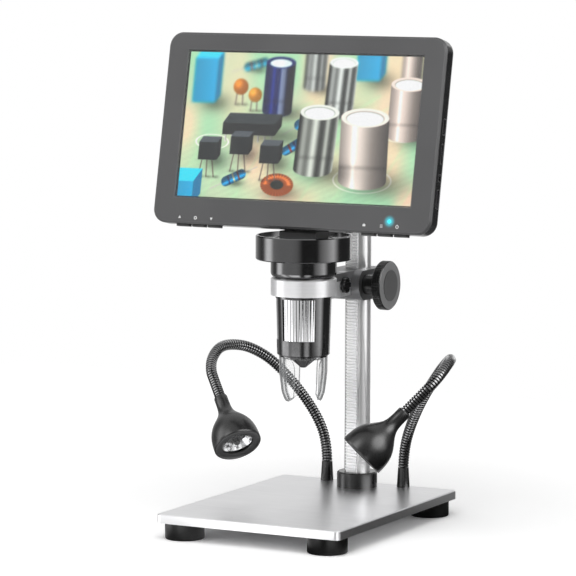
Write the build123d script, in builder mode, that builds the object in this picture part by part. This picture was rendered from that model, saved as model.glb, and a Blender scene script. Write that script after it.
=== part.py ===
from build123d import *

import math
import os

# Digital microscope with a 7-inch monitor on a rack-and-pinion stand and two gooseneck lamps.
# Millimetres. +Z is up, +X to the right and +Y to the back as seen from the front.
# The origin is the centre of the base plate's footprint on the table.

# ---------------------------------------------------------------- clearances
running = 0.05  # radial play of a shaft in its bearing
gap = 0.3  # air between pieces that move past each other
touch = 0.1  # air between fixed pieces that only fit together

# ---------------------------------------------------------------- base
plate_width = 120.0
plate_depth = 161.0
plate_thickness = 5.3
plate_corner = 3.3
plate_edge = 0.6
foot_radius = 11.8
foot_height = 9.7
foot_edge = 0.9
foot_inset_x = 13.2
foot_inset_y = 11.7
foot_screw_radius = 2.0
foot_screw_grip = 3.6
foot_screw_head_radius = 3.5
foot_screw_head = 2.3
foot_recess_radius = 4.2
foot_recess = 4.9

# ---------------------------------------------------------------- column and rack
column_inset = 16.8  # from the plate's back edge to the column's axis
column_radius = 7.9
column_top = 205.0
column_chamfer = 1.0
column_screw_radius = 3.0
column_screw_grip = 12.0
column_screw_head_radius = 5.0
column_screw_head = 3.4
column_screw_sides = 6
collar_radius = 12.4
collar_height = 9.5
collar_edge = 0.8
rack_width = 7.0
rack_proud = 1.5  # how far the tooth tips stand in front of the column
rack_thickness = 4.6
rack_end_gap = 1.0
tooth_module = 0.6
tooth_addendum = 0.5
tooth_dedendum = 0.75
tooth_play = 0.08  # thinning of each tooth at its pitch line
pressure_angle = math.radians(20)
pinion_teeth = 16

# ---------------------------------------------------------------- carriage
carriage_half_width = 12.0
carriage_bottom = 131.8
carriage_top = 150.1
carriage_rear = 11.6  # behind the column's axis
carriage_corner = 4.0
boss_radius = 9.8  # housing round the pinion
bush_wall = 0.95
rack_channel_play = 0.4
arm_half_width = 6.8
arm_start = 2.8  # from the ring clamp to the front of the arm
arm_thickness = 4.7
arm_screw_radius = 1.5
arm_screw_grip = 6.0
arm_screw_head_radius = 2.8
arm_screw_head = 1.6
arm_screw_x = 3.4
arm_screw_inset = 3.4  # from the shank's end
pinion_bearing_radius = 5.5
pinion_half_width = 3.3
shaft_radius = 2.5
knob_hub_radius = 6.4
knob_hub_taper = 0.3
knob_hub_end = 22.4
knob_radius = 14.85
knob_thickness = 6.0
knob_edge = 0.8
knob_flutes = 60
knob_flute_radius = 0.35
knob_cap_radius = 9.3
knob_cap_depth = 0.9
knob_cap_thickness = 1.3

# ---------------------------------------------------------------- ring clamp
reach = 72.65  # from the column's axis to the microscope's
clamp_radius = 19.5
clamp_bore = 17.0
clamp_bottom = 140.4
clamp_height = 10.1
clamp_edge = 0.5
shank_half_width = 6.6
shank_bottom = 135.8
shank_end_gap = 0.45  # between the shank and the pinion's housing
slit_width = 1.6
slit_inset = 5.0  # from the slit's end to the shank's
thumbscrew_inset = 4.75  # from the slit's end
thumbscrew_z = 142.7
thumbscrew_radius = 2.0
thumbscrew_head_radius = 4.8
thumbscrew_head = 2.6
thumbscrew_flutes = 8
thumbscrew_flute_radius = 0.9
thumbscrew_edge = 0.4
thumbscrew_slot_pitch = 3.7  # two slots across the head's face
thumbscrew_slot_width = 0.9
thumbscrew_slot_depth = 0.8

# ---------------------------------------------------------------- microscope head
upper_radius = 19.6
upper_height = 10.3
upper_round = 3.0
upper_wall = 1.4
upper_floor = 1.8
core_wall = 2.5
core_roof = 3.0
cable_hole = 3.0
ring_radius = 28.5
ring_height = 14.4
ring_rim = 1.5
ring_dish = 1.8
ring_edge = 0.6
skirt_wall = 0.85
lower_top_radius = 16.6
lower_foot_radius = 15.6
lower_foot_z = 105.2
lower_bottom = 103.9
lower_lip = 1.1
lower_lip_height = 0.7
lower_bore = 12.35
collar_step = 1.0  # height of the step from the lower barrel up to the clamped neck
grip_bottom = 113.9
grip_top = 138.6
grip_thickness = 1.2
grip_sunk = 0.2
grip_angle = 76.0
grip_spacing = 93.0
grip_first = 15.5  # azimuth of the front window, from -Y towards +X
grip_count = 3

# ---------------------------------------------------------------- focusing parts
nose_tip_z = 97.0
nose_tip_radius = 1.6
nose_tip_bore = 1.0
nose_radius = 8.0
nose_cone = 5.4
carrier_bottom = 112.3
carrier_top = 158.6
carrier_wall = 1.5
carrier_floor = 2.0
lens_radius = 6.0
lens_thickness = 3.0
lens_z = 106.5
cam_pin_radius = 1.0
cam_pin_z = 157.2
cam_slot_play = 0.3
focus_lead = 6.4  # rise of the lens carrier per turn of the focus ring
focus_turn = 150.0  # travel of the focus ring to each side, in degrees
cam_step = 12.0  # angle of one step of the cam slot, in degrees
led_board_radius = 8.8
led_board_thickness = 1.4
led_count = 8
led_size = 1.4
sensor_board_z = 163.5
sensor_board_thickness = 1.5
sensor_size = 6.0
sensor_thickness = 1.0

# ---------------------------------------------------------------- clear shield
shield_outline = ((14.4, 0.0), (14.3, 9.4), (13.1, 19.9), (12.7, 21.9), (11.4, 25.4), (10.6, 26.6))
shield_wall = 2.2
shield_web = 1.1
spigot_wall = 2.0
spigot_height = 3.5
# azimuth of each opening's middle, half-width of its straight part and at its top
shield_openings = ((38.0, 7.3, 9.3), (193.0, 5.3, 7.2))
shield_flare = 8.0
shield_toe = 2.6

# ---------------------------------------------------------------- neck and tilt hinge
neck_half_width = 12.0
neck_depth = 16.5
neck_top = 178.4
neck_edge = 0.8
pin_back = 3.3  # behind the microscope's axis
pin_z = 186.0
pin_radius = 2.0
tongue_radius = 5.0
lug_thickness = 4.0
bracket_half_width = 18.0
bracket_thickness = 1.5
bracket_below = 3.5  # below the pin
bracket_above = 10.5

# ---------------------------------------------------------------- monitor
screen_tilt = math.radians(11.508)
hinge_depth = 22.65  # from the monitor's front face back to the pin
hinge_rise = 9.41  # from the case's bottom edge up to the pin
case_half_width = 91.5
case_above = 54.9
case_below = 59.9
case_corner = 8.5
case_depth = 14.0
case_wall = 2.0
case_round = 5.8
bezel_depth = 2.0
bezel_chamfer = 1.2
window_lap_u = 2.25  # how far the frame laps over the panel at each side
window_lap_v = 3.75  # and at its top and bottom
window_chamfer = 0.4
glass_front = 0.5
glass_thickness = 1.4
panel_inset_u = 11.5  # from the case's side to the panel
panel_inset_v = 6.9  # from the case's top to the panel
panel_thickness = 3.0
board_depth = 9.0
board_thickness = 1.6
board_inset_left = 36.5  # from the case's left side to the board, and so on round it
board_inset_right = 3.5
board_inset_below = 13.9
board_inset_above = 34.9
bay_inset_u = 31.5
bay_inset_below = 32.9
bay_inset_above = 19.9
bay_depth = 6.0
bay_corner = 6.0
bay_round = 2.0
battery_inset_u = 20.0  # from the bay's side to the battery
battery_inset_v = 8.0
battery_thickness = 6.4
post_radius = 2.4
post_inset_u = 7.9
post_inset_v = 9.9
post_play = 0.4  # gap between a post and the rear wall, which the rounding inside needs
cover_screw_radius = 1.0
cover_screw_head_radius = 2.1
cover_screw_head = 1.2
cover_screw_grip = 8.0
vent_length = 16.0
vent_width = 1.6
vent_pitch = 4.0
vent_count = 6
vent_inset_u = 20.5
vent_inset_v = 31.9
led_inset_u = 26.2
led_inset_v = 7.0
led_radius = 1.0
led_length = 4.0

# name, place along the side, width and height of each socket's mouth
port_depth = 6.8
ports = (
    ("usb", 3.75, 8.7, 3.1),
    ("card", -11.8, 11.0, 1.8),
    ("jack", -26.0, 3.4, 3.4),
    ("video", -38.2, 10.4, 2.8),
)
port_wall = 0.5
port_length = 7.6
port_pocket = 6.0

button_names = ("up", "ok", "down", "capture", "menu", "power")
button_inset = 30.2  # from the case's side to the middle of a group
button_pitch = 10.5
button_depth = 4.6
button_width = 9.2
button_height = 3.2
button_corner = 0.8
button_proud = 1.4
button_flange = 0.6
button_flange_thickness = 1.0
button_stem_radius = 1.0
button_stem = 0.6

# ---------------------------------------------------------------- gooseneck lamps
socket_x = 26.2
socket_inset = 5.9  # from the plate's back edge
socket_foot_radius = 4.0
socket_top_radius = 3.3
socket_height = 12.0
socket_stem_radius = 2.8
socket_bore_depth = 10.0
neck_radius = 3.15
neck_spigot_radius = 2.0
neck_arc_share = 0.45  # share of a run that the arc at each of its ends takes
# the right lamp's neck: points that the tube's runs join, and where it bends
lower_route = (
    (26.6, 74.7, 38.0),
    (31.0, 73.4, 52.5),
    (41.2, 68.2, 70.4),
    (55.6, 60.8, 88.6),
    (65.2, 52.4, 97.0),
)
neck_middle = (72.0, 43.7, 100.6)
upper_route = ((77.4, 30.0, 101.0), (77.0, 18.0, 94.4), (73.4, 10.6, 87.6))
lamp_rim = (41.1, -14.3, 47.9)
lamp_back = (0.57, 0.44, 0.70)  # from the lamp's mouth towards its neck
sleeve_radius = 4.1
sleeve_start = 25.0
sleeve_end = 36.4
neck_end_at = 50.0  # where the neck bends above the lamp head, along the head's axis
neck_plug = 5.0
lamp_radius = 14.5
lamp_outline = ((14.5, 5.5), (13.4, 12.0), (10.5, 17.6), (8.0, 20.2), (5.2, 23.4), (4.2, 25.0))
lamp_flange = 2.0
lamp_mouth_radius = 9.4
lamp_wall = 1.6
lamp_cavity_depth = 14.0
lamp_cavity_back = 10.4
lamp_wire_radius = 1.2
lamp_lens_radius = 12.4
lamp_lens_thickness = 1.2
reflector_front_radius = 12.2
reflector_back_radius = 6.6
reflector_depth = 5.6
reflector_wall = 0.8
lamp_led_count = 3
lamp_led_radius = 1.9
lamp_led_circle = 4.0
lamp_led_height = 2.2
lamp_board_thickness = 1.2

# ---------------------------------------------------------------- derived places
plate_bottom = foot_height
plate_top = plate_bottom + plate_thickness
plate_back = plate_depth / 2
foot_x = plate_width / 2 - foot_inset_x
foot_y = plate_back - foot_inset_y
column_y = plate_back - column_inset
socket_y = plate_back - socket_inset
head_y = column_y - reach  # the microscope's optical axis

tooth_pitch = math.pi * tooth_module
pitch_radius = tooth_module * pinion_teeth / 2
rack_front = column_y - column_radius - rack_proud
rack_back = rack_front + rack_thickness
rack_pitch_y = rack_front + tooth_addendum
pinion_y = rack_pitch_y - pitch_radius
pinion_z = carriage_bottom + boss_radius
carriage_height = carriage_top - carriage_bottom
carriage_back = column_y + carriage_rear
arm_front = head_y + clamp_radius + arm_start
shank_back = pinion_y - boss_radius - shank_end_gap
arm_screw_y = shank_back - arm_screw_inset
slit_back = shank_back - slit_inset
thumbscrew_y = slit_back - thumbscrew_inset

clamp_top = clamp_bottom + clamp_height
neck_grip_radius = clamp_bore - running
upper_bottom = clamp_top + touch + gap
upper_top = upper_bottom + upper_height
core_radius = clamp_bore
core_bore = core_radius - core_wall
ring_bottom = upper_top + gap
ring_top = ring_bottom + ring_height
dish_floor = ring_top - ring_dish
core_top = dish_floor - gap
ring_bore = core_radius + running
cavity_radius = upper_radius - upper_wall
cavity_floor = upper_bottom + upper_floor
skirt_bottom = cavity_floor + gap
carrier_radius = lower_bore - running

head_axis = Axis((0, head_y, 0), (0, 0, 1))
head_section = Plane(origin=(0, head_y, 0), x_dir=(1, 0, 0), z_dir=(0, -1, 0))

# The monitor hangs on its hinge pin: the pin's place in the monitor sets the screen's.
pin_y = head_y + pin_back
pin_height = hinge_rise - case_below
screen_normal = Vector(0, -math.cos(screen_tilt), math.sin(screen_tilt))
screen_up = Vector(0, math.sin(screen_tilt), math.cos(screen_tilt))
screen_origin = Vector(0, pin_y, pin_z) - screen_up * pin_height + screen_normal * hinge_depth
screen_plane = Plane(origin=screen_origin, x_dir=(1, 0, 0), z_dir=screen_normal)
screen_axis = Axis(screen_origin, screen_normal)
case_width = 2 * case_half_width
case_height = case_above + case_below
case_centre = (case_above - case_below) / 2
rear_wall = case_depth - case_wall
panel_width = case_width - 2 * panel_inset_u
panel_height = 2 * (case_above - panel_inset_v)
window_width = panel_width - 2 * window_lap_u
window_height = panel_height - 2 * window_lap_v
board_left = board_inset_left - case_half_width
board_right = case_half_width - board_inset_right
board_bottom = board_inset_below - case_below
board_top = case_above - board_inset_above
bay_width = case_width - 2 * bay_inset_u
bay_height = case_height - bay_inset_below - bay_inset_above
bay_centre = case_centre + (bay_inset_below - bay_inset_above) / 2
battery_width = bay_width - 2 * battery_inset_u
battery_height = bay_height - 2 * battery_inset_v
led_u = case_half_width - led_inset_u
led_v = led_inset_v - case_below
vent_u = vent_inset_u - case_half_width
vent_v = vent_inset_v - case_below
button_group = case_half_width - button_inset
bracket_bottom = pin_height - bracket_below
bracket_top = pin_height + bracket_above

os.makedirs("parts", exist_ok=True)


def save(piece, name):
    piece.part.label = name
    export_step(piece.part, f"parts/{name}.step")


def turned(points, section, axis, mode=Mode.ADD):
    """Revolve a closed outline of (radius, height) points about an axis."""
    with BuildSketch(section) as outline:
        with BuildLine():
            Polyline(*points, close=True)
        make_face()
    revolve(outline.sketch, axis=axis, mode=mode)


def behind(depth):
    """The plane that lies this far behind the monitor's front face."""
    return screen_plane.offset(-depth)


def azimuth_section(azimuth):
    """The plane through the head's axis whose x points at this azimuth, from -Y towards +X."""
    turn = math.radians(azimuth)
    outward = Vector(math.sin(turn), -math.cos(turn), 0)
    return Plane(origin=(0, head_y, 0), x_dir=outward, z_dir=outward.cross(Vector(0, 0, 1)))


# ================================================================ base
foot_spots = [(x, y) for x in (-foot_x, foot_x) for y in (-foot_y, foot_y)]
socket_spots = [(-socket_x, socket_y), (socket_x, socket_y)]

with BuildPart() as base_plate:
    with BuildSketch(Plane.XY.offset(plate_bottom)):
        RectangleRounded(plate_width, plate_depth, plate_corner)
    extrude(amount=plate_thickness)
    chamfer(base_plate.faces().sort_by(Axis.Z)[-1].edges(), plate_edge)
    with BuildSketch(Plane.XY.offset(plate_bottom)):
        with Locations(*foot_spots):
            Circle(foot_screw_radius)
    extrude(amount=foot_screw_grip, mode=Mode.SUBTRACT)
    with BuildSketch(Plane.XY.offset(plate_bottom)):
        with Locations((0, column_y)):
            Circle(column_screw_radius)
        with Locations(*socket_spots):
            Circle(socket_stem_radius)
    extrude(amount=plate_thickness, mode=Mode.SUBTRACT)
save(base_plate, "base_plate")

with BuildPart() as feet:
    with BuildSketch():
        with Locations(*foot_spots):
            Circle(foot_radius)
    extrude(amount=foot_height)
    fillet(feet.edges().group_by(Axis.Z)[0], foot_edge)
    with BuildSketch():
        with Locations(*foot_spots):
            Circle(foot_recess_radius)
    extrude(amount=foot_recess, mode=Mode.SUBTRACT)
    with BuildSketch():
        with Locations(*foot_spots):
            Circle(foot_screw_radius)
    extrude(amount=foot_height, mode=Mode.SUBTRACT)
save(feet, "feet")

with BuildPart() as foot_screws:
    with BuildSketch(Plane.XY.offset(foot_recess)):
        with Locations(*foot_spots):
            Circle(foot_screw_head_radius)
    extrude(amount=-foot_screw_head)
    with BuildSketch(Plane.XY.offset(foot_recess)):
        with Locations(*foot_spots):
            Circle(foot_screw_radius)
    extrude(amount=foot_height - foot_recess + foot_screw_grip)
save(foot_screws, "foot_screws")

with BuildPart() as column:
    with BuildSketch(Plane.XY.offset(plate_top)):
        with Locations((0, column_y)):
            Circle(column_radius)
    extrude(amount=column_top - plate_top)
    chamfer(column.faces().sort_by(Axis.Z)[-1].edges(), column_chamfer)
    with BuildSketch(Plane.XY.offset(plate_top + collar_height)):
        with Locations((0, (rack_front + rack_back) / 2)):
            Rectangle(rack_width, rack_thickness)
    extrude(amount=column_top - plate_top, mode=Mode.SUBTRACT)
    with BuildSketch(Plane.XY.offset(plate_top)):
        with Locations((0, column_y)):
            Circle(column_screw_radius)
    extrude(amount=column_screw_grip, mode=Mode.SUBTRACT)
save(column, "column")

with BuildPart() as column_screw:
    with BuildSketch(Plane.XY.offset(plate_bottom)):
        with Locations((0, column_y)):
            RegularPolygon(column_screw_head_radius, column_screw_sides)
    extrude(amount=-column_screw_head)
    with BuildSketch(Plane.XY.offset(plate_bottom)):
        with Locations((0, column_y)):
            Circle(column_screw_radius)
    extrude(amount=plate_thickness + column_screw_grip)
save(column_screw, "column_screw")

with BuildPart() as column_collar:
    with BuildSketch(Plane.XY.offset(plate_top)):
        with Locations((0, column_y)):
            Circle(collar_radius)
            Circle(column_radius, mode=Mode.SUBTRACT)
    extrude(amount=collar_height)
    chamfer(column_collar.faces().sort_by(Axis.Z)[-1].edges().sort_by(SortBy.LENGTH)[-1], collar_edge)
save(column_collar, "column_collar")

# The rack's teeth are in step with the pinion's: one tooth stands at the pinion's height.
rack_bottom = plate_top + collar_height + touch
rack_top = column_top - rack_end_gap
tooth_half = tooth_pitch / 4 - tooth_play / 2
tip_half = tooth_half - tooth_addendum * math.tan(pressure_angle)
root_half = tooth_half + tooth_dedendum * math.tan(pressure_angle)
root_y = rack_pitch_y + tooth_dedendum
first_tooth = math.ceil((rack_bottom + tooth_pitch - pinion_z) / tooth_pitch)
last_tooth = math.floor((rack_top - tooth_pitch - pinion_z) / tooth_pitch)

rack_points = [(rack_back, rack_top), (rack_back, rack_bottom), (root_y, rack_bottom)]
for tooth in range(first_tooth, last_tooth + 1):
    tooth_z = pinion_z + tooth * tooth_pitch
    rack_points += [(root_y, tooth_z - root_half), (rack_front, tooth_z - tip_half)]
    rack_points += [(rack_front, tooth_z + tip_half), (root_y, tooth_z + root_half)]
rack_points.append((root_y, rack_top))

with BuildPart() as rack:
    with BuildSketch(Plane.YZ):
        with BuildLine():
            Polyline(*rack_points, close=True)
        make_face()
    extrude(amount=rack_width / 2, both=True)
save(rack, "rack")


def lamp_socket(side):
    """The tapered sleeve on the plate that a lamp's neck turns in."""
    axis = Axis((side * socket_x, socket_y, 0), (0, 0, 1))
    section = Plane(origin=(side * socket_x, socket_y, 0), x_dir=(1, 0, 0), z_dir=(0, -1, 0))
    socket_top = plate_top + socket_height
    bore = neck_spigot_radius + running
    outline = (
        (0, plate_bottom),
        (socket_stem_radius, plate_bottom),
        (socket_stem_radius, plate_top),
        (socket_foot_radius, plate_top),
        (socket_top_radius, socket_top),
        (bore, socket_top),
        (bore, socket_top - socket_bore_depth),
        (0, socket_top - socket_bore_depth),
    )
    with BuildPart() as socket:
        turned(outline, section, axis)
    return socket


save(lamp_socket(-1), "lamp_socket_left")
save(lamp_socket(1), "lamp_socket_right")

# ================================================================ carriage
bush_radius = column_radius + running + bush_wall
channel_half = rack_width / 2 + rack_channel_play
channel_front = rack_front - rack_channel_play
bush_front = column_y - column_radius / 2  # where the channel for the rack ends in the bush
chamber_radius = pitch_radius + tooth_addendum + gap + running
screw_spots = [(-arm_screw_x, arm_screw_y), (arm_screw_x, arm_screw_y)]

with BuildPart() as carriage_body:
    with BuildSketch(Plane.YZ):
        with Locations(((pinion_y + carriage_back) / 2, carriage_bottom + carriage_height / 2)):
            Rectangle(carriage_back - pinion_y, carriage_height)
        with Locations((pinion_y, pinion_z)):
            Circle(boss_radius)
    extrude(amount=carriage_half_width, both=True)
    split(bisect_by=Plane.XY.offset(carriage_top), keep=Keep.BOTTOM)
    back_edges = carriage_body.edges().filter_by(Axis.Z).group_by(Axis.Y)[-1]
    fillet(back_edges, carriage_corner)
    with BuildSketch(Plane.XY.offset(carriage_top)):
        with Locations((0, (arm_front + pinion_y) / 2)):
            Rectangle(2 * arm_half_width, pinion_y - arm_front)
    extrude(amount=-arm_thickness)
    with BuildSketch(Plane.XY.offset(carriage_bottom)):
        with Locations((0, column_y)):
            Circle(bush_radius)
        with Locations((0, (channel_front + column_y) / 2)):
            Rectangle(2 * channel_half, column_y - channel_front)
    extrude(amount=carriage_height, mode=Mode.SUBTRACT)
    with BuildSketch(Plane.YZ):
        with Locations((pinion_y, pinion_z)):
            Circle(pinion_bearing_radius)
    extrude(amount=carriage_half_width, both=True, mode=Mode.SUBTRACT)
    with BuildSketch(Plane.YZ):
        with Locations((pinion_y, pinion_z)):
            Circle(chamber_radius)
    extrude(amount=channel_half, both=True, mode=Mode.SUBTRACT)
    with BuildSketch(Plane.XY.offset(carriage_top)):
        with Locations(*screw_spots):
            Circle(arm_screw_head_radius)
    extrude(amount=-arm_screw_head, mode=Mode.SUBTRACT)
    with BuildSketch(Plane.XY.offset(carriage_top)):
        with Locations(*screw_spots):
            Circle(arm_screw_radius)
    extrude(amount=-arm_thickness, mode=Mode.SUBTRACT)
save(carriage_body, "carriage_body")

with BuildPart() as column_bush:
    with BuildSketch(Plane.XY.offset(carriage_bottom)):
        with Locations((0, column_y)):
            Circle(bush_radius)
            Circle(column_radius + running, mode=Mode.SUBTRACT)
        with Locations((0, (channel_front + bush_front) / 2)):
            Rectangle(2 * channel_half, bush_front - channel_front, mode=Mode.SUBTRACT)
    extrude(amount=carriage_height)
save(column_bush, "column_bush")

with BuildPart() as pinion_bushes:
    for side in (-1, 1):
        with BuildSketch(Plane.YZ.offset(side * channel_half)):
            with Locations((pinion_y, pinion_z)):
                Circle(pinion_bearing_radius)
                Circle(shaft_radius + running, mode=Mode.SUBTRACT)
        extrude(amount=side * (carriage_half_width - channel_half))
save(pinion_bushes, "pinion_bushes")

with BuildPart() as ring_clamp:
    with BuildSketch(Plane.XY.offset(clamp_bottom)):
        with Locations((0, head_y)):
            Circle(clamp_radius)
    extrude(amount=clamp_height)
    chamfer(ring_clamp.faces().sort_by(Axis.Z)[-1].edges(), clamp_edge)
    with BuildSketch(Plane.XY.offset(shank_bottom)):
        with Locations((0, (head_y + shank_back) / 2)):
            Rectangle(2 * shank_half_width, shank_back - head_y)
    extrude(amount=carriage_top - arm_thickness - shank_bottom)
    with BuildSketch(Plane.XY.offset(shank_bottom)):
        with Locations((0, head_y)):
            Circle(clamp_bore)
        with Locations((0, (head_y + slit_back) / 2)):
            Rectangle(slit_width, slit_back - head_y)
    extrude(amount=clamp_top - shank_bottom, mode=Mode.SUBTRACT)
    with BuildSketch(Plane.YZ):
        with Locations((thumbscrew_y, thumbscrew_z)):
            Circle(thumbscrew_radius + running)
    extrude(amount=shank_half_width, both=True, mode=Mode.SUBTRACT)
    with BuildSketch(Plane.XY.offset(carriage_top - arm_thickness)):
        with Locations(*screw_spots):
            Circle(arm_screw_radius)
    extrude(amount=-arm_screw_grip, mode=Mode.SUBTRACT)
save(ring_clamp, "ring_clamp")

with BuildPart() as arm_screws:
    with BuildSketch(Plane.XY.offset(carriage_top)):
        with Locations(*screw_spots):
            Circle(arm_screw_head_radius)
    extrude(amount=-arm_screw_head)
    with BuildSketch(Plane.XY.offset(carriage_top)):
        with Locations(*screw_spots):
            Circle(arm_screw_radius)
    extrude(amount=-arm_thickness - arm_screw_grip)
save(arm_screws, "arm_screws")

# ================================================================ pinion and knobs
def involute(angle):
    return math.tan(angle) - angle


def gear_outline():
    """The pinion's outline, with a tooth gap that points at the rack."""
    base_radius = pitch_radius * math.cos(pressure_angle)
    tip_radius = pitch_radius + tooth_addendum
    root_radius = pitch_radius - tooth_dedendum
    half_at_pitch = math.pi / (2 * pinion_teeth) - tooth_play / (2 * pitch_radius)
    flank = [(root_radius, half_at_pitch + involute(pressure_angle))]
    for radius in (base_radius, pitch_radius, tip_radius):
        angle = math.acos(min(1, base_radius / radius))
        flank.append((radius, half_at_pitch + involute(pressure_angle) - involute(angle)))
    points = []
    for tooth in range(pinion_teeth):
        middle = 2 * math.pi * (tooth + 0.5) / pinion_teeth
        rising = [(radius, middle - half) for radius, half in flank]
        falling = [(radius, middle + half) for radius, half in reversed(flank)]
        points += rising + falling
    return [(radius * math.cos(turn), radius * math.sin(turn)) for radius, turn in points]


knob_face = knob_hub_end + knob_thickness
shaft_end = knob_face - knob_cap_depth

with BuildPart() as pinion_shaft:
    with BuildSketch(Plane.YZ):
        with Locations((pinion_y, pinion_z)):
            Circle(shaft_radius)
    extrude(amount=shaft_end, both=True)
    with BuildSketch(Plane.YZ):
        with Locations((pinion_y, pinion_z)):
            Polygon(*gear_outline(), align=None)
    extrude(amount=pinion_half_width, both=True)
save(pinion_shaft, "pinion_shaft")


def focus_knob(side):
    """A knob on one end of the pinion shaft: a tapered hub and a fluted disc."""
    hub_start = carriage_half_width + gap
    axis = Axis((0, pinion_y, pinion_z), (side, 0, 0))
    section = Plane(origin=(0, pinion_y, pinion_z), x_dir=(0, 1, 0), z_dir=(0, 0, side))
    outline = (
        (shaft_radius, hub_start),
        (knob_hub_radius - knob_hub_taper, hub_start),
        (knob_hub_radius, knob_hub_end),
        (knob_radius - knob_edge, knob_hub_end),
        (knob_radius, knob_hub_end + knob_edge),
        (knob_radius, knob_face - knob_edge),
        (knob_radius - knob_edge, knob_face),
        (knob_cap_radius, knob_face),
        (knob_cap_radius, shaft_end),
        (shaft_radius, shaft_end),
    )
    with BuildPart() as knob:
        turned([(radius, -along) for radius, along in outline], section, axis)
        with BuildSketch(Plane.YZ.offset(side * knob_hub_end)):
            with Locations((pinion_y, pinion_z)):
                with PolarLocations(knob_radius, knob_flutes):
                    Circle(knob_flute_radius)
        extrude(amount=side * knob_thickness, mode=Mode.SUBTRACT)
    return knob


save(focus_knob(-1), "focus_knob_left")
save(focus_knob(1), "focus_knob_right")

with BuildPart() as knob_caps:
    for side in (-1, 1):
        with BuildSketch(Plane.YZ.offset(side * shaft_end)):
            with Locations((pinion_y, pinion_z)):
                Circle(knob_cap_radius)
        extrude(amount=side * knob_cap_thickness)
save(knob_caps, "knob_caps")

thumbscrew_start = arm_half_width + gap

with BuildPart() as thumbscrew:
    with BuildSketch(Plane.YZ.offset(thumbscrew_start)):
        with Locations((thumbscrew_y, thumbscrew_z)):
            Circle(thumbscrew_head_radius)
    extrude(amount=thumbscrew_head)
    chamfer(thumbscrew.edges().group_by(Axis.X)[-1], thumbscrew_edge)
    with BuildSketch(Plane.YZ.offset(thumbscrew_start)):
        with Locations((thumbscrew_y, thumbscrew_z)):
            with PolarLocations(thumbscrew_head_radius, thumbscrew_flutes):
                Circle(thumbscrew_flute_radius)
    extrude(amount=thumbscrew_head, mode=Mode.SUBTRACT)
    with BuildSketch(Plane.YZ.offset(thumbscrew_start + thumbscrew_head)):
        with Locations((thumbscrew_y, thumbscrew_z)):
            with GridLocations(0, thumbscrew_slot_pitch, 1, 2):
                Rectangle(2 * thumbscrew_head_radius, thumbscrew_slot_width)
    extrude(amount=-thumbscrew_slot_depth, mode=Mode.SUBTRACT)
    with BuildSketch(Plane.YZ.offset(thumbscrew_start)):
        with Locations((thumbscrew_y, thumbscrew_z)):
            Circle(thumbscrew_radius)
    extrude(amount=-thumbscrew_start - shank_half_width)
save(thumbscrew, "thumbscrew")

# ================================================================ microscope head
slot_half = cam_pin_radius + cam_slot_play
focus_travel = focus_lead * focus_turn / 360

with BuildPart() as upper_barrel:
    with BuildSketch(head_section):
        with BuildLine():
            Polyline(
                (upper_radius, upper_bottom + upper_round),
                (upper_radius, upper_top),
                (cavity_radius, upper_top),
                (cavity_radius, cavity_floor),
                (core_radius, cavity_floor),
                (core_radius, core_top),
                (cable_hole, core_top),
                (cable_hole, core_top - core_roof),
                (core_bore, core_top - core_roof),
                (core_bore, upper_bottom),
                (upper_radius - upper_round, upper_bottom),
            )
            RadiusArc(
                (upper_radius - upper_round, upper_bottom),
                (upper_radius, upper_bottom + upper_round),
                -upper_round,
            )
        make_face()
    revolve(axis=head_axis)
    with BuildSketch(Plane(origin=(0, head_y, cam_pin_z), x_dir=(1, 0, 0), z_dir=(0, -1, 0))):
        SlotCenterToCenter(2 * focus_travel, 2 * slot_half, rotation=90)
    extrude(amount=core_radius + gap, mode=Mode.SUBTRACT)
save(upper_barrel, "upper_barrel")

with BuildPart() as focus_ring:
    turned(
        (
            (ring_bore, skirt_bottom),
            (ring_bore + skirt_wall, skirt_bottom),
            (ring_bore + skirt_wall, ring_bottom),
            (ring_radius - ring_edge, ring_bottom),
            (ring_radius, ring_bottom + ring_edge),
            (ring_radius, ring_top - ring_edge),
            (ring_radius - ring_edge, ring_top),
            (ring_radius - ring_rim, ring_top),
            (ring_radius - ring_rim, dish_floor),
            (ring_bore, dish_floor),
        ),
        head_section,
        head_axis,
    )
    # the stepped cam slot: as the ring turns, it lifts or lowers the lens carrier's pin
    cam_steps = math.ceil(focus_turn / cam_step)
    step_length = 2 * ring_bore * math.sin(math.radians(cam_step) / 2) + 2 * cam_pin_radius
    for step in range(-cam_steps, cam_steps + 1):
        cam_z = cam_pin_z - focus_lead * step * cam_step / 360
        face = azimuth_section(step * cam_step)
        cam_plane = Plane(origin=(0, head_y, cam_z), x_dir=face.z_dir, z_dir=face.x_dir)
        with BuildSketch(cam_plane.offset(ring_bore - 2 * running)):
            Rectangle(step_length, 2 * slot_half)
        extrude(amount=skirt_wall + gap, mode=Mode.SUBTRACT)
save(focus_ring, "focus_ring")


lower_shoulder = clamp_bottom - collar_step


def barrel_radius(height):
    """Outer radius of the tapered lower barrel at a height."""
    share = (height - lower_foot_z) / (lower_shoulder - lower_foot_z)
    return lower_foot_radius + (lower_top_radius - lower_foot_radius) * share


lip_radius = lower_foot_radius - lower_lip
grip_starts = [grip_first - grip_spacing * number - grip_angle / 2 for number in range(grip_count)]


def grip_outline(proud):
    """Cross-section of a grip window: its outer side follows the barrel's taper."""
    return (
        (barrel_radius(grip_bottom) - grip_thickness, grip_bottom),
        (barrel_radius(grip_bottom) + proud, grip_bottom),
        (barrel_radius(grip_top) + proud, grip_top),
        (barrel_radius(grip_top) - grip_thickness, grip_top),
    )


with BuildPart() as grip_windows:
    for start in grip_starts:
        with BuildSketch(azimuth_section(start)):
            with BuildLine():
                Polyline(*grip_outline(grip_sunk), close=True)
            make_face()
        revolve(axis=head_axis, revolution_arc=grip_angle)

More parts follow.
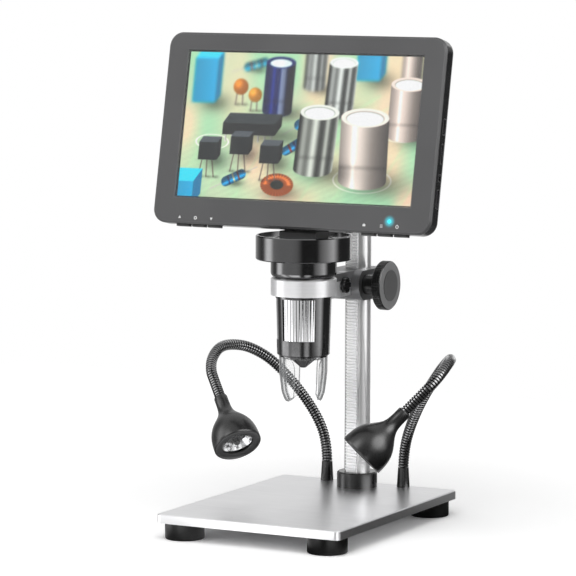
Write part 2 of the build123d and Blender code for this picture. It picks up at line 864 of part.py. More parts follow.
with BuildPart() as lower_barrel:
    turned(
        (
            (lower_bore, lower_bottom),
            (lip_radius, lower_bottom),
            (lip_radius, lower_bottom + lower_lip_height),
            (lower_foot_radius, lower_foot_z),
            (lower_top_radius, lower_shoulder),
            (neck_grip_radius, lower_shoulder),
            (neck_grip_radius, upper_bottom),
            (lower_bore, upper_bottom),
        ),
        head_section,
        head_axis,
    )
    add(grip_windows.part, mode=Mode.SUBTRACT)
save(lower_barrel, "lower_barrel")

with BuildPart() as grip_inserts:
    for start in grip_starts:
        with BuildSketch(azimuth_section(start)):
            with BuildLine():
                Polyline(*grip_outline(-grip_sunk), close=True)
            make_face()
        revolve(axis=head_axis, revolution_arc=grip_angle)
save(grip_inserts, "grip_inserts")

with BuildPart() as neck_block:
    with BuildSketch(Plane.XY.offset(core_top)):
        with Locations((0, head_y)):
            Rectangle(2 * neck_half_width, neck_depth)
    extrude(amount=neck_top - core_top)
    chamfer(neck_block.faces().sort_by(Axis.Z)[-1].edges().sort_by(Axis.Y)[0], neck_edge)
    with BuildSketch(Plane.YZ):
        with Locations((pin_y, (core_top + pin_z) / 2)):
            Rectangle(2 * tongue_radius, pin_z - core_top)
        with Locations((pin_y, pin_z)):
            Circle(tongue_radius)
    extrude(amount=neck_half_width, both=True)
    with BuildSketch(Plane.YZ):
        with Locations((pin_y, pin_z)):
            Circle(pin_radius)
    extrude(amount=neck_half_width, both=True, mode=Mode.SUBTRACT)
save(neck_block, "neck_block")

lug_start = neck_half_width + gap

with BuildPart() as hinge_pin:
    with BuildSketch(Plane.YZ):
        with Locations((pin_y, pin_z)):
            Circle(pin_radius)
    extrude(amount=lug_start + lug_thickness, both=True)
save(hinge_pin, "hinge_pin")

# The shield hangs from the lower barrel's mouth: an outer wall, a web and a spigot in the bore.
shield_outer = [(radius, lower_bottom - drop) for radius, drop in shield_outline]
shield_inner = [(radius - shield_wall, lower_bottom - drop) for radius, drop in shield_outline[1:]]
spigot_bore = carrier_radius - spigot_wall
web_bottom = lower_bottom - shield_web
shield_bottom = shield_outer[-1][1]

with BuildPart() as clear_shield:
    turned(
        shield_outer
        + list(reversed(shield_inner))
        + [
            (shield_outline[0][0] - shield_wall, web_bottom),
            (spigot_bore, web_bottom),
            (spigot_bore, lower_bottom + spigot_height),
            (lower_bore, lower_bottom + spigot_height),
            (lower_bore, lower_bottom),
        ],
        head_section,
        head_axis,
    )
    for azimuth, half_width, top_half_width in shield_openings:
        face = azimuth_section(azimuth)
        opening_plane = Plane(origin=(0, head_y, 0), x_dir=face.z_dir, z_dir=face.x_dir)
        toe = half_width + shield_toe
        # in this plane the local y points down
        down = opening_plane.y_dir.Z
        with BuildSketch(opening_plane):
            with BuildLine():
                Polyline(
                    (-toe, down * (shield_bottom - gap)),
                    (toe, down * (shield_bottom - gap)),
                    (half_width, down * (shield_bottom + shield_toe)),
                    (half_width, down * (web_bottom - shield_flare)),
                )
                Spline(
                    (half_width, down * (web_bottom - shield_flare)),
                    (top_half_width, down * web_bottom),
                    tangents=[(0, down), (1, down)],
                )
                Line((top_half_width, down * web_bottom), (-top_half_width, down * web_bottom))
                Spline(
                    (-top_half_width, down * web_bottom),
                    (-half_width, down * (web_bottom - shield_flare)),
                    tangents=[(1, -down), (0, -down)],
                )
                Polyline(
                    (-half_width, down * (web_bottom - shield_flare)),
                    (-half_width, down * (shield_bottom + shield_toe)),
                    (-toe, down * (shield_bottom - gap)),
                )
            make_face()
        extrude(amount=shield_outline[0][0] + gap, mode=Mode.SUBTRACT)
save(clear_shield, "clear_shield")

led_ring_bottom = lower_bottom + spigot_height

with BuildPart() as led_ring:
    with BuildSketch(Plane.XY.offset(led_ring_bottom)):
        with Locations((0, head_y)):
            Circle(carrier_radius)
            Circle(led_board_radius, mode=Mode.SUBTRACT)
    extrude(amount=led_board_thickness)
    with BuildSketch(Plane.XY.offset(led_ring_bottom)):
        with Locations((0, head_y)):
            with PolarLocations((led_board_radius + spigot_bore) / 2, led_count):
                Rectangle(led_size, led_size)
    extrude(amount=-led_size / 2)
save(led_ring, "led_ring")

with BuildPart() as sensor_board:
    with BuildSketch(Plane.XY.offset(sensor_board_z)):
        with Locations((0, head_y)):
            Circle(core_bore)
    extrude(amount=sensor_board_thickness)
    with BuildSketch(Plane.XY.offset(sensor_board_z)):
        with Locations((0, head_y)):
            Rectangle(sensor_size, sensor_size)
    extrude(amount=-sensor_thickness)
save(sensor_board, "sensor_board")

# ---------------------------------------------------------------- lens carrier
with BuildPart() as lens_carrier:
    turned(
        (
            (nose_tip_bore, nose_tip_z),
            (nose_tip_radius, nose_tip_z),
            (nose_radius, nose_tip_z + nose_cone),
            (nose_radius, carrier_bottom),
            (carrier_radius, carrier_bottom),
            (carrier_radius, carrier_top),
            (carrier_radius - carrier_wall, carrier_top),
            (carrier_radius - carrier_wall, carrier_bottom + carrier_floor),
            (lens_radius, carrier_bottom + carrier_floor),
            (lens_radius, nose_tip_z + nose_cone + nose_tip_radius),
            (nose_tip_bore, nose_tip_z + 2 * nose_tip_radius - nose_tip_bore),
        ),
        head_section,
        head_axis,
    )
    with BuildSketch(Plane(origin=(0, head_y, cam_pin_z), x_dir=(1, 0, 0), z_dir=(0, -1, 0)).offset(
        carrier_radius - carrier_wall / 2
    )):
        Circle(cam_pin_radius)
    extrude(amount=ring_bore + skirt_wall - carrier_radius + carrier_wall / 2)
save(lens_carrier, "lens_carrier")

with BuildPart() as objective_lens:
    with BuildSketch(Plane.XY.offset(lens_z)):
        with Locations((0, head_y)):
            Circle(lens_radius)
    extrude(amount=lens_thickness)
save(objective_lens, "objective_lens")

# ================================================================ monitor
post_spots = [
    (side * (case_half_width - post_inset_u), v)
    for side in (-1, 1)
    for v in (case_above - post_inset_v, post_inset_v - case_below)
]
post_end = rear_wall - post_play

with BuildPart() as front_bezel:
    with BuildSketch(screen_plane):
        with Locations((0, case_centre)):
            RectangleRounded(case_width, case_height, case_corner)
    extrude(amount=-bezel_depth)
    bezel_face = front_bezel.faces().sort_by(screen_axis)[-1]
    chamfer(bezel_face.edges(), bezel_chamfer)
    with BuildSketch(screen_plane):
        Rectangle(window_width, window_height)
    extrude(amount=-bezel_depth, mode=Mode.SUBTRACT)
    window_edges = front_bezel.faces().sort_by(screen_axis)[-1].inner_wires()[0].edges()
    chamfer(window_edges, window_chamfer)
    with BuildSketch(screen_plane):
        with Locations((led_u, led_v)):
            Circle(led_radius)
    extrude(amount=-bezel_depth, mode=Mode.SUBTRACT)
    with BuildSketch(behind(bezel_depth)):
        with Locations(*post_spots):
            Circle(post_radius)
            Circle(cover_screw_radius, mode=Mode.SUBTRACT)
    extrude(amount=bezel_depth - post_end)
save(front_bezel, "front_bezel")

with BuildPart() as screen_glass:
    with BuildSketch(behind(glass_front)):
        Rectangle(window_width - 2 * touch, window_height - 2 * touch)
    extrude(amount=-glass_thickness)
save(screen_glass, "screen_glass")

with BuildPart() as lcd_panel:
    with BuildSketch(behind(bezel_depth + touch)):
        Rectangle(panel_width, panel_height)
    extrude(amount=-panel_thickness)
save(lcd_panel, "lcd_panel")


def port_outline(number, margin):
    """Place and size of a side socket in the plane of the monitor's right side."""
    _, place, width, height = ports[number]
    return place, width + 2 * margin, height + 2 * margin


# in this plane x is the depth behind the front face and y runs up the monitor's side
side_plane = Plane(
    origin=screen_plane.from_local_coords(Vector(case_half_width, 0, 0)),
    x_dir=-screen_normal,
    z_dir=(1, 0, 0),
)


def button_plane(place, height):
    """A plane across a button's travel, at a height on the monitor."""
    origin = screen_plane.from_local_coords(Vector(place, height, -button_depth))
    return Plane(origin=origin, x_dir=(1, 0, 0), z_dir=screen_plane.y_dir)


button_places = [
    side * button_group + step * button_pitch for side in (-1, 1) for step in (-1, 0, 1)
]

with BuildPart() as case_cavity:
    with BuildSketch(behind(bezel_depth)):
        with Locations((0, case_centre)):
            RectangleRounded(case_width - 2 * case_wall, case_height - 2 * case_wall, case_corner - case_wall)
    extrude(amount=bezel_depth - rear_wall)
    fillet(case_cavity.faces().sort_by(screen_axis)[0].edges(), case_round - case_wall)

with BuildPart() as rear_cover:
    with BuildSketch(behind(bezel_depth)):
        with Locations((0, case_centre)):
            RectangleRounded(case_width, case_height, case_corner)
    extrude(amount=bezel_depth - case_depth)
    fillet(rear_cover.faces().sort_by(screen_axis)[0].edges(), case_round)
    with BuildSketch(behind(rear_wall)):
        with Locations((0, bay_centre)):
            RectangleRounded(bay_width, bay_height, bay_corner)
    extrude(amount=rear_wall - case_depth - bay_depth)
    fillet(rear_cover.faces().sort_by(screen_axis)[0].edges(), bay_round)
    add(case_cavity.part, mode=Mode.SUBTRACT)
    with BuildSketch(behind(rear_wall)):
        with Locations((0, bay_centre)):
            RectangleRounded(bay_width - 2 * case_wall, bay_height - 2 * case_wall, bay_corner - case_wall)
    extrude(amount=-bay_depth, mode=Mode.SUBTRACT)
    with BuildSketch(behind(rear_wall)):
        with Locations(*post_spots):
            Circle(cover_screw_radius)
        with Locations((vent_u, vent_v)):
            with GridLocations(0, vent_pitch, 1, vent_count):
                SlotOverall(vent_length, vent_width)
    extrude(amount=rear_wall - case_depth, mode=Mode.SUBTRACT)
    with BuildSketch(behind(case_depth)):
        with Locations(*post_spots):
            Circle(cover_screw_head_radius)
    extrude(amount=cover_screw_head, mode=Mode.SUBTRACT)
    for number in range(len(ports)):
        place, width, height = port_outline(number, port_wall + touch)
        with BuildSketch(side_plane):
            with Locations((port_depth, place)):
                Rectangle(height, width)
        extrude(amount=-case_wall - gap, mode=Mode.SUBTRACT)
    for place in button_places:
        with BuildSketch(button_plane(place, -case_below)):
            RectangleRounded(button_width + 2 * gap, button_height + 2 * gap, button_corner)
        extrude(amount=case_wall, mode=Mode.SUBTRACT)
save(rear_cover, "rear_cover")

with BuildPart() as main_board:
    with BuildSketch(behind(board_depth)):
        with Locations(((board_left + board_right) / 2, (board_bottom + board_top) / 2)):
            Rectangle(board_right - board_left, board_top - board_bottom)
    extrude(amount=-board_thickness)
save(main_board, "main_board")

with BuildPart() as side_sockets:
    for number in range(len(ports)):
        place, width, height = port_outline(number, port_wall)
        with BuildSketch(side_plane.offset(-touch)):
            with Locations((port_depth, place)):
                Rectangle(height, width)
        extrude(amount=-port_length)
        place, width, height = port_outline(number, 0)
        with BuildSketch(side_plane.offset(-touch)):
            with Locations((port_depth, place)):
                Rectangle(height, width)
        extrude(amount=-port_pocket, mode=Mode.SUBTRACT)
save(side_sockets, "side_sockets")

with BuildPart() as battery:
    with BuildSketch(behind(board_depth + board_thickness + touch)):
        with Locations((0, bay_centre)):
            Rectangle(battery_width, battery_height)
    extrude(amount=-battery_thickness)
    fillet(battery.edges().filter_by(screen_axis), bay_round)
save(battery, "battery")

with BuildPart() as status_led:
    with BuildSketch(screen_plane):
        with Locations((led_u, led_v)):
            Circle(led_radius)
    extrude(amount=-led_length)
save(status_led, "status_led")

with BuildPart() as cover_screws:
    with BuildSketch(behind(case_depth)):
        with Locations(*post_spots):
            Circle(cover_screw_head_radius)
    extrude(amount=cover_screw_head)
    with BuildSketch(behind(case_depth)):
        with Locations(*post_spots):
            Circle(cover_screw_radius)
    extrude(amount=cover_screw_head + cover_screw_grip)
save(cover_screws, "cover_screws")

with BuildPart() as tilt_bracket:
    with BuildSketch(behind(case_depth)):
        with Locations((0, (bracket_bottom + bracket_top) / 2)):
            Rectangle(2 * bracket_half_width, bracket_top - bracket_bottom)
    extrude(amount=-bracket_thickness)
    for start in (lug_start, -lug_start - lug_thickness):
        lug_plane = Plane(
            origin=screen_plane.from_local_coords(Vector(start, 0, 0)),
            x_dir=-screen_normal,
            z_dir=(1, 0, 0),
        )
        with BuildSketch(lug_plane):
            with Locations(((case_depth + hinge_depth) / 2, pin_height)):
                Rectangle(hinge_depth - case_depth, 2 * tongue_radius)
            with Locations((hinge_depth, pin_height)):
                Circle(tongue_radius)
                Circle(pin_radius + running, mode=Mode.SUBTRACT)
        extrude(amount=lug_thickness)
save(tilt_bracket, "tilt_bracket")


def monitor_button(place):
    """A key in the monitor's underside: the cap, the flange that keeps it in and its stem."""
    inner_face = -case_below + case_wall
    with BuildPart() as button:
        with BuildSketch(button_plane(place, -case_below - button_proud)):
            RectangleRounded(button_width, button_height, button_corner)
        extrude(amount=button_proud + case_wall + gap)
        with BuildSketch(button_plane(place, inner_face + gap)):
            flange = 2 * button_flange
            RectangleRounded(button_width + flange, button_height + flange, button_corner)
        extrude(amount=button_flange_thickness)
        with BuildSketch(button_plane(place, inner_face + gap + button_flange_thickness)):
            Circle(button_stem_radius)
        extrude(amount=button_stem)
    return button


for button_name, button_place in zip(button_names, button_places):
    save(monitor_button(button_place), f"button_{button_name}")

# ================================================================ gooseneck lamps
def arc_radii(points):
    """The largest arcs that the runs of a tube leave room for, one for each corner."""
    radii = []
    for before, corner, after in zip(points, points[1:], points[2:]):
        run_in = corner - before
        run_out = after - corner
        half_turn = math.radians(run_in.get_angle(run_out)) / 2
        radii.append(neck_arc_share * min(run_in.length, run_out.length) / math.tan(half_turn))
    return radii


def tube(points):
    """A round rod along straight runs joined by tangent arcs."""
    radii = arc_radii(points)
    with BuildPart() as rod:
        with BuildLine() as route:
            FilletPolyline(*points, radius=radii)
        with BuildSketch(Plane(origin=route.line @ 0, z_dir=route.line % 0)):
            Circle(neck_radius)
        sweep()
    return rod


def lamp(side, name):
    """One gooseneck lamp; side is 1 on the right and -1 on the left."""
    ball_cut = neck_radius + gap
    socket_top = plate_top + socket_height
    neck_start = Vector(side * socket_x, socket_y, socket_top + gap)
    middle = Vector(side * neck_middle[0], neck_middle[1], neck_middle[2])
    rim = Vector(side * lamp_rim[0], lamp_rim[1], lamp_rim[2])
    back = Vector(side * lamp_back[0], lamp_back[1], lamp_back[2]).normalized()
    elbow = rim + back * neck_end_at
    bend_axis = (elbow - middle).cross(Vector(0, 0, 1)).normalized()
    across = back.cross(Vector(0, 0, 1)).normalized()
    lower_points = [Vector(side * x, y, z) for x, y, z in lower_route]
    upper_points = [Vector(side * x, y, z) for x, y, z in upper_route]

    lower_rod = tube([neck_start, *lower_points, middle])
    with BuildPart() as neck_lower:
        add(lower_rod.part)
        with Locations(middle):
            Sphere(neck_radius)
        with BuildSketch(Plane(origin=neck_start, z_dir=(0, 0, -1))):
            Circle(neck_spigot_radius)
        extrude(amount=socket_bore_depth)
    save(neck_lower, f"neck_lower_{name}")

    upper_rod = tube([middle, *upper_points, elbow])
    with BuildPart() as neck_upper:
        add(upper_rod.part)
        for centre, axis in ((middle, bend_axis), (elbow, across)):
            with BuildSketch(Plane(origin=centre, z_dir=axis)):
                Circle(ball_cut)
            extrude(amount=ball_cut, both=True, mode=Mode.SUBTRACT)
    save(neck_upper, f"neck_upper_{name}")

    sleeve_mouth = Plane(origin=rim + back * sleeve_end, z_dir=back)
    with BuildPart() as neck_end:
        with BuildSketch(sleeve_mouth):
            Circle(neck_radius)
        extrude(amount=neck_end_at - sleeve_end)
        with Locations(elbow):
            Sphere(neck_radius)
        with BuildSketch(sleeve_mouth):
            Circle(neck_spigot_radius)
        extrude(amount=-neck_plug)
    save(neck_end, f"neck_end_{name}")

    section = Plane(origin=rim, x_dir=across, z_dir=across.cross(back))
    lamp_axis = Axis(rim, back)
    cavity_mouth = lamp_radius - lamp_wall
    with BuildPart() as lamp_shell:
        turned(
            [
                (lamp_mouth_radius, 0),
                (lamp_radius, 0),
                *lamp_outline,
                (sleeve_radius, sleeve_start),
                (sleeve_radius, sleeve_end),
                (neck_spigot_radius, sleeve_end),
                (neck_spigot_radius, sleeve_end - neck_plug),
                (lamp_wire_radius, sleeve_end - neck_plug),
                (lamp_wire_radius, lamp_cavity_depth),
                (lamp_cavity_back, lamp_cavity_depth),
                (cavity_mouth, lamp_outline[0][1]),
                (cavity_mouth, lamp_flange),
                (lamp_mouth_radius, lamp_flange),
            ],
            section,
            lamp_axis,
        )
    save(lamp_shell, f"lamp_shell_{name}")

    lens_plane = Plane(origin=rim + back * (lamp_flange + touch), z_dir=back)
    with BuildPart() as lamp_lens:
        with BuildSketch(lens_plane):
            Circle(lamp_lens_radius)
        extrude(amount=lamp_lens_thickness)
    save(lamp_lens, f"lamp_lens_{name}")

    reflector_front = lamp_flange + touch + lamp_lens_thickness + touch
    reflector_back = reflector_front + reflector_depth
    board_front = reflector_back + touch
    circle_plane = Plane(origin=rim + back * board_front, x_dir=across, z_dir=back)
    with BuildPart() as lamp_reflector:
        turned(
            (
                (reflector_front_radius - reflector_wall, reflector_front),
                (reflector_front_radius, reflector_front),
                (reflector_back_radius + reflector_wall, reflector_back),
                (0, reflector_back),
                (0, reflector_back - reflector_wall),
                (reflector_back_radius, reflector_back - reflector_wall),
            ),
            section,
            lamp_axis,
        )
        with BuildSketch(circle_plane):
            with PolarLocations(lamp_led_circle, lamp_led_count):
                Circle(lamp_led_radius + touch)
        extrude(amount=-2 * lamp_led_height, mode=Mode.SUBTRACT)
    save(lamp_reflector, f"lamp_reflector_{name}")

    with BuildPart() as lamp_leds:
        with BuildSketch(circle_plane):
            Circle(reflector_back_radius + reflector_wall)
        extrude(amount=lamp_board_thickness)
        with BuildSketch(circle_plane):
            with PolarLocations(lamp_led_circle, lamp_led_count):
                Circle(lamp_led_radius)
        extrude(amount=-lamp_led_height)
    save(lamp_leds, f"lamp_leds_{name}")


lamp(-1, "left")
lamp(1, "right")
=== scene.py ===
from math import atan2, cos, degrees, pi, radians, sin

import bpy
import numpy as np
from mathutils import Matrix, Vector


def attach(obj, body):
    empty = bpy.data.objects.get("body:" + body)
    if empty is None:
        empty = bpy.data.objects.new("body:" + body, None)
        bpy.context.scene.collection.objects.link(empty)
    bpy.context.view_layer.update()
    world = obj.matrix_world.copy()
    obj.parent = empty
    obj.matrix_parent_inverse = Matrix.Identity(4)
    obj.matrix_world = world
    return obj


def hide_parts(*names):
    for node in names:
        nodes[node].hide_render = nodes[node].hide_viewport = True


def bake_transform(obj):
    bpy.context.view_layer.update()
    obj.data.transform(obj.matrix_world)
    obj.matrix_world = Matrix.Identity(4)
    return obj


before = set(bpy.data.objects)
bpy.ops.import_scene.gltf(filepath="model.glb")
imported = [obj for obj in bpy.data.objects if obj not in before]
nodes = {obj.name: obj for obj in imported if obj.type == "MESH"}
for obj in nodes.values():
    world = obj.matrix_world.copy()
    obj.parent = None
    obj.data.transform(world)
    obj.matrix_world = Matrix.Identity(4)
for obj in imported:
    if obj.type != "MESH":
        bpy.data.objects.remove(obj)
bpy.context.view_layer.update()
print("frame loaded with", len(nodes), "nodes")


# a dictionary of settings, where look.rough reads the same as look["rough"]
class Look(dict):
    __getattr__ = dict.__getitem__


# a wire is one output socket of a shader node, and sums and products with it add Math nodes
class Wire:
    def __init__(self, bench, socket):
        self.bench = bench
        self.socket = socket

    def maths(self, operation, first, second):
        return self.bench.node("ShaderNodeMath", {0: first, 1: second}, operation=operation)

    def __add__(self, other):
        return self.maths("ADD", self, other)

    def __sub__(self, other):
        return self.maths("SUBTRACT", self, other)

    def __rsub__(self, other):
        return self.maths("SUBTRACT", other, self)

    def __mul__(self, other):
        return self.maths("MULTIPLY", self, other)

    def __truediv__(self, other):
        return self.maths("DIVIDE", self, other)

    def __abs__(self):
        return self.maths("ABSOLUTE", self, 0.0)

    __radd__ = __add__
    __rmul__ = __mul__

    def above(self, edge):
        return self.maths("GREATER_THAN", self, edge)

    def most(self, other):
        return self.maths("MAXIMUM", self, other)

    def between(self, low, high, start=0.0, end=1.0):
        sockets = {0: self, 1: low, 2: high, 3: start, 4: end}
        return self.bench.node("ShaderNodeMapRange", sockets, clamp=True, interpolation_type="SMOOTHSTEP")


# low and high: how far a rounded normal leans away where a face ends and where the edge mask is full
edgeLook = Look(samples=4, low=0.01, high=0.22)


# a bench holds the node tree of one material or world
class Bench:
    def __init__(self, owner):
        owner.use_nodes = True
        self.owner = owner
        self.tree = owner.node_tree
        self.tree.nodes.clear()

    def node(self, kind, sockets=None, output=0, **settings):
        made = self.tree.nodes.new(kind)
        for key, value in settings.items():
            if key == "stops":
                ramp = made.color_ramp
                while len(ramp.elements) < len(value):
                    ramp.elements.new(0.5)
                for element, (place, colour) in zip(ramp.elements, value):
                    element.position = place
                    element.color = (*colour, 1.0)
            else:
                setattr(made, key, value)
        for key, value in (sockets or {}).items():
            if isinstance(value, Wire):
                self.tree.links.new(value.socket, made.inputs[key])
            else:
                made.inputs[key].default_value = value
        return Wire(self, made.outputs[output]) if made.outputs else None

    def place(self):
        return self.node("ShaderNodeTexCoord", output="Object")

    def axes(self, vector):
        split = self.node("ShaderNodeSeparateXYZ", {0: vector}).socket.node
        return [Wire(self, socket) for socket in split.outputs]

    def measure(self, operation, *vectors):
        return self.node("ShaderNodeVectorMath", dict(enumerate(vectors)), "Value", operation=operation)

    def grain(self, scale, stretch=(1.0, 1.0, 1.0), detail=3.0):
        spread = self.node("ShaderNodeMapping", {"Vector": self.place(), "Scale": stretch})
        sockets = {"Vector": spread, "Scale": scale, "Detail": detail, "Roughness": 0.6}
        return self.node("ShaderNodeTexNoise", sockets)

    def blendColours(self, share, first, second):
        first, second = [(*c, 1.0) if isinstance(c, tuple) else c for c in (first, second)]
        return self.node("ShaderNodeMix", {0: share, 6: first, 7: second}, 2, data_type="RGBA")

    # 1 along the edges of a piece, 0 on its faces
    def edgeWearAndPaintedLight(self, radius):
        rounded = self.node("ShaderNodeBevel", {"Radius": radius}, samples=edgeLook.samples)
        plain = self.node("ShaderNodeNewGeometry", output="Normal")
        facing = self.measure("DOT_PRODUCT", rounded, plain)
        return (1 - facing).between(edgeLook.low, edgeLook.high)

    def dent(self, height, depth, strength=1.0):
        return self.node("ShaderNodeBump", {"Height": height, "Distance": depth, "Strength": strength})

    def finish(self, **sockets):
        named = {key.replace("_", " "): value for key, value in sockets.items()}
        self.node("ShaderNodeOutputMaterial", {"Surface": self.node("ShaderNodeBsdfPrincipled", named)})
        return self.owner


def materialBench(name):
    return Bench(bpy.data.materials.new(name))


# what all moulded pieces share, unless their own look says otherwise
plasticWear = Look(
    cloud=60.0, clouds=(0.35, 0.65, 0.0, 0.45), edge=0.0004, rub=0.5, rubRough=0.08, scuff=900.0,
    scuffStretch=(1.0, 0.25, 1.6), scuffs=(0.6, 0.72), scuffRough=0.06, dent=1e-5, uneven=0.06,
    metallic=0.0, ior=1.5, coat=0.0, coatRough=0.1,
)


def mouldedPlastic(name, look):
    look = Look(plasticWear, **look)
    bench = materialBench(name)
    fine = bench.grain(look.grain)
    broad = bench.grain(look.cloud, detail=2.0)
    rub = bench.edgeWearAndPaintedLight(look.edge)
    scuff = bench.grain(look.scuff, stretch=look.scuffStretch, detail=5.0).between(*look.scuffs)
    share = broad.between(*look.clouds) + rub * look.rub
    rough = look.rough + (fine - 0.5) * look.uneven + scuff * look.scuffRough + rub * look.rubRough
    return bench.finish(
        Base_Color=bench.blendColours(share, look.colour, look.worn), Roughness=rough,
        Metallic=look.metallic, IOR=look.ior, Coat_Weight=look.coat,
        Coat_Roughness=look.coatRough, Normal=bench.dent(fine, look.dent),
    )


# what all machined pieces share: the lines of the tool, a coarser set of them and broad clouds
metalWear = Look(
    cloud=35.0, edge=0.0004, rub=0.3, contrast=(0.15, 0.85), metallic=1.0, stretch=(1.0, 1.0, 1.0),
    dent=1e-5, coarser=0.21, shares=(0.45, 0.35, 0.35), shift=0.1, lineRough=0.12, cloudRough=0.1,
    dented=0.6,
)


def machinedMetal(name, look):
    look = Look(metalWear, **look)
    bench = materialBench(name)
    lines = bench.grain(look.lines, stretch=look.stretch, detail=4.0)
    faint = bench.grain(look.lines * look.coarser, stretch=look.stretch, detail=2.0)
    broad = bench.grain(look.cloud, detail=2.0)
    rub = bench.edgeWearAndPaintedLight(look.edge)
    lined, fainted, clouded = look.shares
    share = lines * lined + faint * fainted + broad * clouded - look.shift - rub * look.rub
    return bench.finish(
        Base_Color=bench.blendColours(share.between(*look.contrast), look.pale, look.deep),
        Roughness=look.rough + (lines - 0.5) * look.lineRough + (broad - 0.5) * look.cloudRough,
        Metallic=look.metallic, Normal=bench.dent(lines, look.dent, look.dented),
    )


metalLooks = Look(
    plate=Look(
        pale=(0.92, 0.92, 0.93), deep=(0.8, 0.8, 0.81), rough=0.31, lines=420.0, stretch=(0.05, 5.0, 5.0),
        dent=2e-5, edge=0.0005,
    ),
    steel=Look(
        pale=(0.9, 0.9, 0.905), deep=(0.82, 0.82, 0.825), rough=0.24, lines=300.0, stretch=(0.6, 0.6, 5.0),
        dent=4e-6, metallic=0.55, cloud=12.0,
    ),
    rack=Look(
        pale=(0.98, 0.98, 0.985), deep=(0.92, 0.92, 0.925), rough=0.36, lines=500.0,
        stretch=(0.3, 3.0, 3.0), dent=1.5e-6, edge=0.0002, metallic=0.75,
    ),
    clamp=Look(
        pale=(0.9, 0.9, 0.91), deep=(0.78, 0.78, 0.79), rough=0.34, lines=500.0, stretch=(0.2, 0.2, 5.0),
        metallic=0.5,
    ),
    carriage=Look(
        pale=(0.27, 0.27, 0.275), deep=(0.2, 0.2, 0.205), rough=0.38, lines=500.0, stretch=(3.0, 0.4, 3.0),
        metallic=0.7,
    ),
    barrel=Look(pale=(0.15, 0.15, 0.152), deep=(0.135, 0.135, 0.137), rough=0.14, lines=600.0, dent=3e-6),
    screw=Look(pale=(0.62, 0.62, 0.63), deep=(0.42, 0.42, 0.43), rough=0.32, lines=900.0),
    brass=Look(
        pale=(0.8, 0.62, 0.34), deep=(0.62, 0.45, 0.22), rough=0.28, lines=900.0, stretch=(1.0, 1.0, 3.0),
    ),
    foil=Look(pale=(0.7, 0.7, 0.72), deep=(0.52, 0.52, 0.54), rough=0.38, lines=260.0, dent=5e-5),
    chrome=Look(
        pale=(0.96, 0.96, 0.97), deep=(0.86, 0.86, 0.88), rough=0.06, lines=700.0, stretch=(1.0, 1.0, 0.4),
        dent=1e-6,
    ),
    # the reflector: its clouds, cut sharply between near white and near black, are painted reflections of
    # bright and dark surroundings
    reflector=Look(
        pale=(0.96, 0.96, 0.96), deep=(0.05, 0.05, 0.052), rough=0.06, lines=260.0, dent=6e-5,
        contrast=(0.42, 0.56), cloud=420.0,
    ),
)
plasticLooks = Look(
    case=Look(
        colour=(0.009, 0.009, 0.01), worn=(0.026, 0.026, 0.027), rough=0.18, grain=1600.0, dent=6e-6,
        coat=0.3,
    ),
    satin=Look(
        colour=(0.007, 0.007, 0.007), worn=(0.022, 0.022, 0.022), rough=0.2, grain=1800.0, dent=6e-6,
        coat=0.2,
    ),
    key=Look(colour=(0.018, 0.018, 0.018), worn=(0.07, 0.07, 0.07), rough=0.28, grain=2000.0, edge=0.0003),
    knobFace=Look(colour=(0.105, 0.105, 0.106), worn=(0.13, 0.13, 0.131), rough=0.48, grain=2400.0),
    neck=Look(colour=(0.135, 0.135, 0.137), worn=(0.18, 0.18, 0.182), rough=0.38, grain=1800.0),
    rubber=Look(
        colour=(0.004, 0.004, 0.004), worn=(0.016, 0.016, 0.016), rough=0.22, grain=1400.0, dent=5e-6,
        rub=0.35, ior=1.42,
    ),
    lampShell=Look(
        colour=(0.004, 0.004, 0.004), worn=(0.012, 0.012, 0.012), rough=0.28, grain=2200.0, dent=8e-6,
        rub=0.3, ior=1.6,
    ),
    board=Look(colour=(0.02, 0.11, 0.05), worn=(0.05, 0.18, 0.08), rough=0.36, grain=500.0, dent=4e-5),
    dieBoard=Look(colour=(0.72, 0.72, 0.68), worn=(0.84, 0.84, 0.8), rough=0.4, grain=900.0, dent=2e-5),
    # the diode domes: near black, as painted shade seen through their clear epoxy
    ledDome=Look(colour=(0.006, 0.006, 0.007), worn=(0.03, 0.03, 0.03), rough=0.06, grain=900.0, dent=4e-6),
    mark=Look(colour=(0.72, 0.72, 0.72), worn=(0.86, 0.86, 0.86), rough=0.5, grain=2400.0),
)
clearLooks = Look(
    window=Look(tint=(0.97, 0.98, 0.99), grain=200.0, smear=40.0, rough=0.03, ior=1.3),
    lens=Look(tint=(0.93, 0.96, 0.99), grain=500.0, smear=200.0, rough=0.01, ior=1.45),
)
smearLook = Look(stretch=(1.0, 0.4, 1.0), detail=4.0, smears=(0.5, 0.8), smeared=0.03)


def clearMaterial(name, look):
    bench = materialBench(name)
    fine = bench.grain(look.grain)
    smear = bench.grain(look.smear, stretch=smearLook.stretch, detail=smearLook.detail)
    return bench.finish(
        Base_Color=bench.blendColours(fine, look.tint, (1.0, 1.0, 1.0)),
        Roughness=look.rough + smear.between(*smearLook.smears) * smearLook.smeared,
        Transmission_Weight=1.0, IOR=look.ior,
    )


# the clear spacer: thin and clear across its wall, with painted shade along its edges and where the wall
# turns away
shieldLook = Look(
    across=(0.8, 0.82, 0.83), edge=(0.03, 0.03, 0.032), thin=0.05, thick=0.7, turned=(0.38, 0.66), rim=0.75,
    rimWide=0.0005, rough=0.06, uneven=0.04, ior=1.46, grain=300.0,
)


